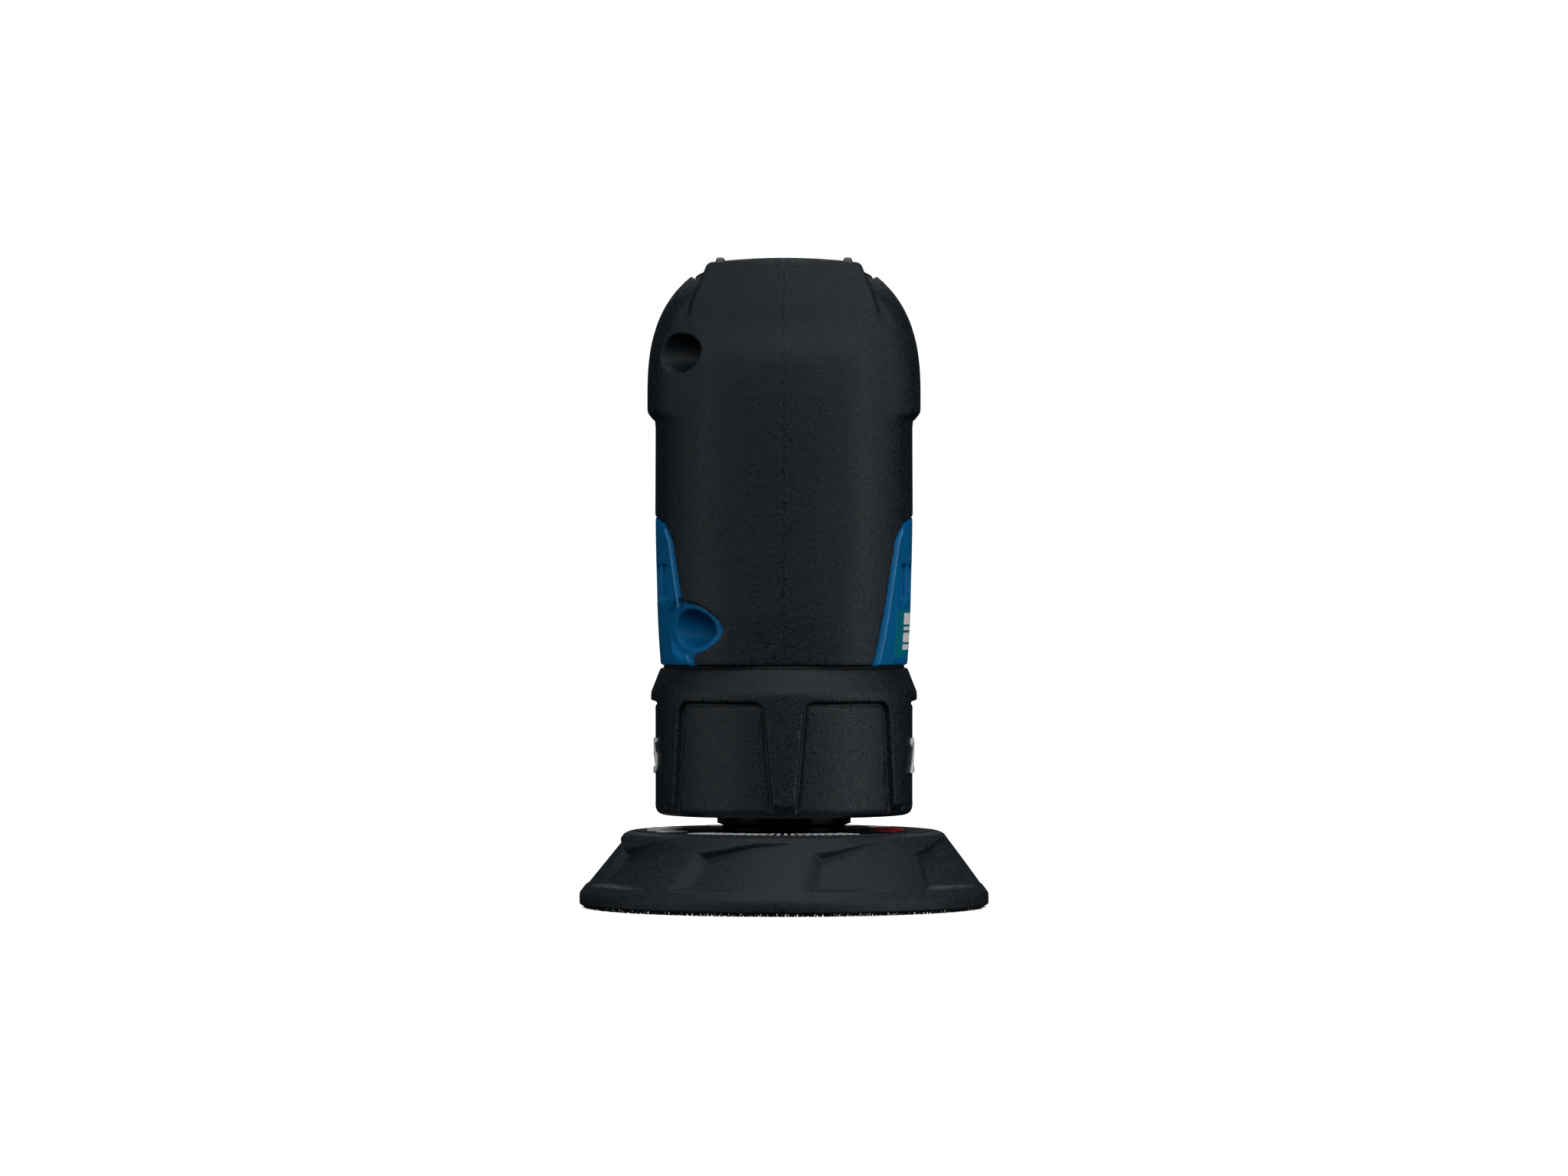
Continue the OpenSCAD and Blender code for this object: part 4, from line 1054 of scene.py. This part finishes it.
def build_model():
    """Every visual piece, and the looks of the CAD meshes that stay."""
    paint = finishes()
    white = print_paint("print_white", WHITE)
    red = print_paint("print_red", (215, 40, 44))
    # a lighter blue for the edge beads: a painted highlight along their crests
    bead_highlight_blue = moulded("shell_bead_painted_highlight", (44, 128, 178), 0.4, 2600, 0.00002, 0.3)
    dark_metal = metal("steel_blackened", (24, 25, 27), 0.42)

    for (kind, side), surface in shell_halves().items():
        hand = "right" if side > 0 else "left"
        slot = "grip_black" if kind == "grip" else "shell_blue"
        piece = trim(new_mesh(f"{kind}_skin_{hand}", *surface), side, SEAM[kind])
        finish_piece(piece, "housing", paint[slot], (f"{kind}_{hand}",))
    for side, hand in HANDS:
        points, quads = edge_bead(side)
        bead = new_mesh(f"housing_edge_{hand}", points, (), quads)
        # the bead's lighter blue is a painted highlight on its crest
        finish_piece(bead, "housing", bead_highlight_blue.material)
    for name, surface, body, slot, node in (
        ("collar_ring", collar_piece(), "collar", "collar_black", "orbit_collar"),
        ("pad_foam", pad_piece(), "pad", "pad_grey", "pad_body"),
        ("paddle_plate", paddle_piece(), "paddle", "paddle_black", "paddle"),
        ("battery_end", cap_piece(), "battery", "cap_black", "battery_cap"),
        ("speed_wheel", dial_piece(), "dial", "dial_black", "speed_dial"),
        ("button_cap_left", button_piece(-1), "button_left", "button_blue", "release_button_left"),
        ("button_cap_right", button_piece(1), "button_right", "button_blue", "release_button_right"),
    ):
        finish_piece(new_mesh(name, *surface), body, paint[slot], (node,))
    finish_piece(hook_piece(), "pad", paint["hook_black"], ("hook_layer",))

    ticks, red_bars = disc_marks()
    finish_piece(flat_marks("disc_ticks", ticks, DISC_TOP), "pad", white)
    finish_piece(flat_marks("disc_arrow", red_bars, DISC_TOP), "pad", red)
    for side, hand in HANDS:
        marks = glyphs(f"collar_mark_{hand}", "2.5", 11.1, 6.5, on_collar(side), 0.4)
        finish_piece(marks, "collar", white)
    for i in range(6):
        wide = 1.1 if i else 0.6
        number = glyphs(f"wheel_number_{i + 1}", str(i + 1), wide, 2.2, on_dial(48 * i))
        finish_piece(number, "dial", white)

    slots = {row["node"]: row["material_slot"] for row in frame["record"]["subparts"]}
    for node, piece in frame["nodes"].items():
        piece.data.materials.clear()
        piece.data.materials.append(dark_metal.material if node in BLACKENED else paint[slots[node]])
        if piece.hide_render or node == "lead_wires":
            continue
        weld = piece.modifiers.new("weld", "WELD")
        weld.merge_threshold = 1e-6
        soft = piece.modifiers.new("soft_edges", "BEVEL")
        soft.width, soft.segments = 0.12 * MM, 2
        soft.limit_method, soft.angle_limit = "ANGLE", math.radians(40)
        soft.use_clamp_overlap = True


# ------ studio


def softbox(name, place, size, power):
    """A rectangular area light that faces the middle of the tool."""
    data = bpy.data.lights.new(name, "AREA")
    data.shape = "RECTANGLE"
    data.size, data.size_y = size
    data.energy = power
    lamp = add(name, data)
    lamp.location = place
    lamp.rotation_mode = "QUATERNION"
    lamp.rotation_quaternion = (Vector((0, 0, 0.07)) - Vector(place)).to_track_quat("-Z", "Y")


def stage_sheet(name, corners, glow):
    """A white stage surface that the camera sees and that doesn't light the object.

    glow is its brightness under the tool and far from it.
    """
    mesh = bpy.data.meshes.new(name)
    mesh.from_pydata(corners, [], [range(len(corners))])
    p = Paint(name, specular=0.0)
    p.drive("Base Color", (0.9, 0.9, 0.9, 1))
    p.drive("Roughness", 0.9)
    p.drive("Emission Color", (1, 1, 1, 1))
    far = p.node("ShaderNodeVectorMath", {0: p.where}, operation="LENGTH")
    p.drive("Emission Strength", p.scaled(far.outputs["Value"], *glow, 0.015, 0.5))
    mesh.materials.append(p.material)
    sheet = add(name, mesh)
    sheet.visible_diffuse = sheet.visible_glossy = sheet.visible_transmission = False


def build_studio():
    """World, lights, floor, backdrop and camera."""
    scene = bpy.context.scene
    scene.view_settings.view_transform = "Standard"
    scene.view_settings.look = "None"
    world = bpy.data.worlds.new("studio")
    scene.world = world
    world.use_nodes = True
    sky = world.node_tree.nodes["Background"]
    sky.inputs["Color"].default_value = (0.9, 0.95, 1, 1)
    sky.inputs["Strength"].default_value = 0.015

    softbox("side_left", (-0.87, -0.37, 0.12), (0.6, 1.0), 2.3)
    softbox("side_right", (0.87, -0.37, 0.12), (0.6, 1.0), 3.7)
    softbox("overhead", (0, 0, 1.05), (0.7, 0.4), 3.7)
    softbox("rear_high", (0, 0.8, 0.8), (0.8, 0.3), 2.0)
    softbox("front_high", (0, -0.85, 0.6), (0.7, 0.3), 1.5)
    softbox("front_left", (-0.45, -0.7, 0.65), (0.35, 0.35), 0.8)
    softbox("front_right", (0.45, -0.7, 0.65), (0.35, 0.35), 1.6)

    reach, front = 3.0, -6.0
    floor = [(-reach, front, 0), (reach, front, 0), (reach, reach, 0), (-reach, reach, 0)]
    stage_sheet("floor", floor, (0.75, 1.1))
    back = [(-reach, reach, 0), (reach, reach, 0), (reach, reach, 2.5), (-reach, reach, 2.5)]
    stage_sheet("backdrop", back, (1.1, 1.1))

    lens = bpy.data.cameras.new("camera")
    lens.sensor_width = 36
    lens.lens = 144.2
    lens.clip_start, lens.clip_end = 0.01, 20
    camera = add("camera", lens)
    camera.location = (0, -1.15, 0.05845)
    camera.rotation_euler = (math.pi / 2, 0, 0)
    scene.camera = camera


build_studio()
build_model()
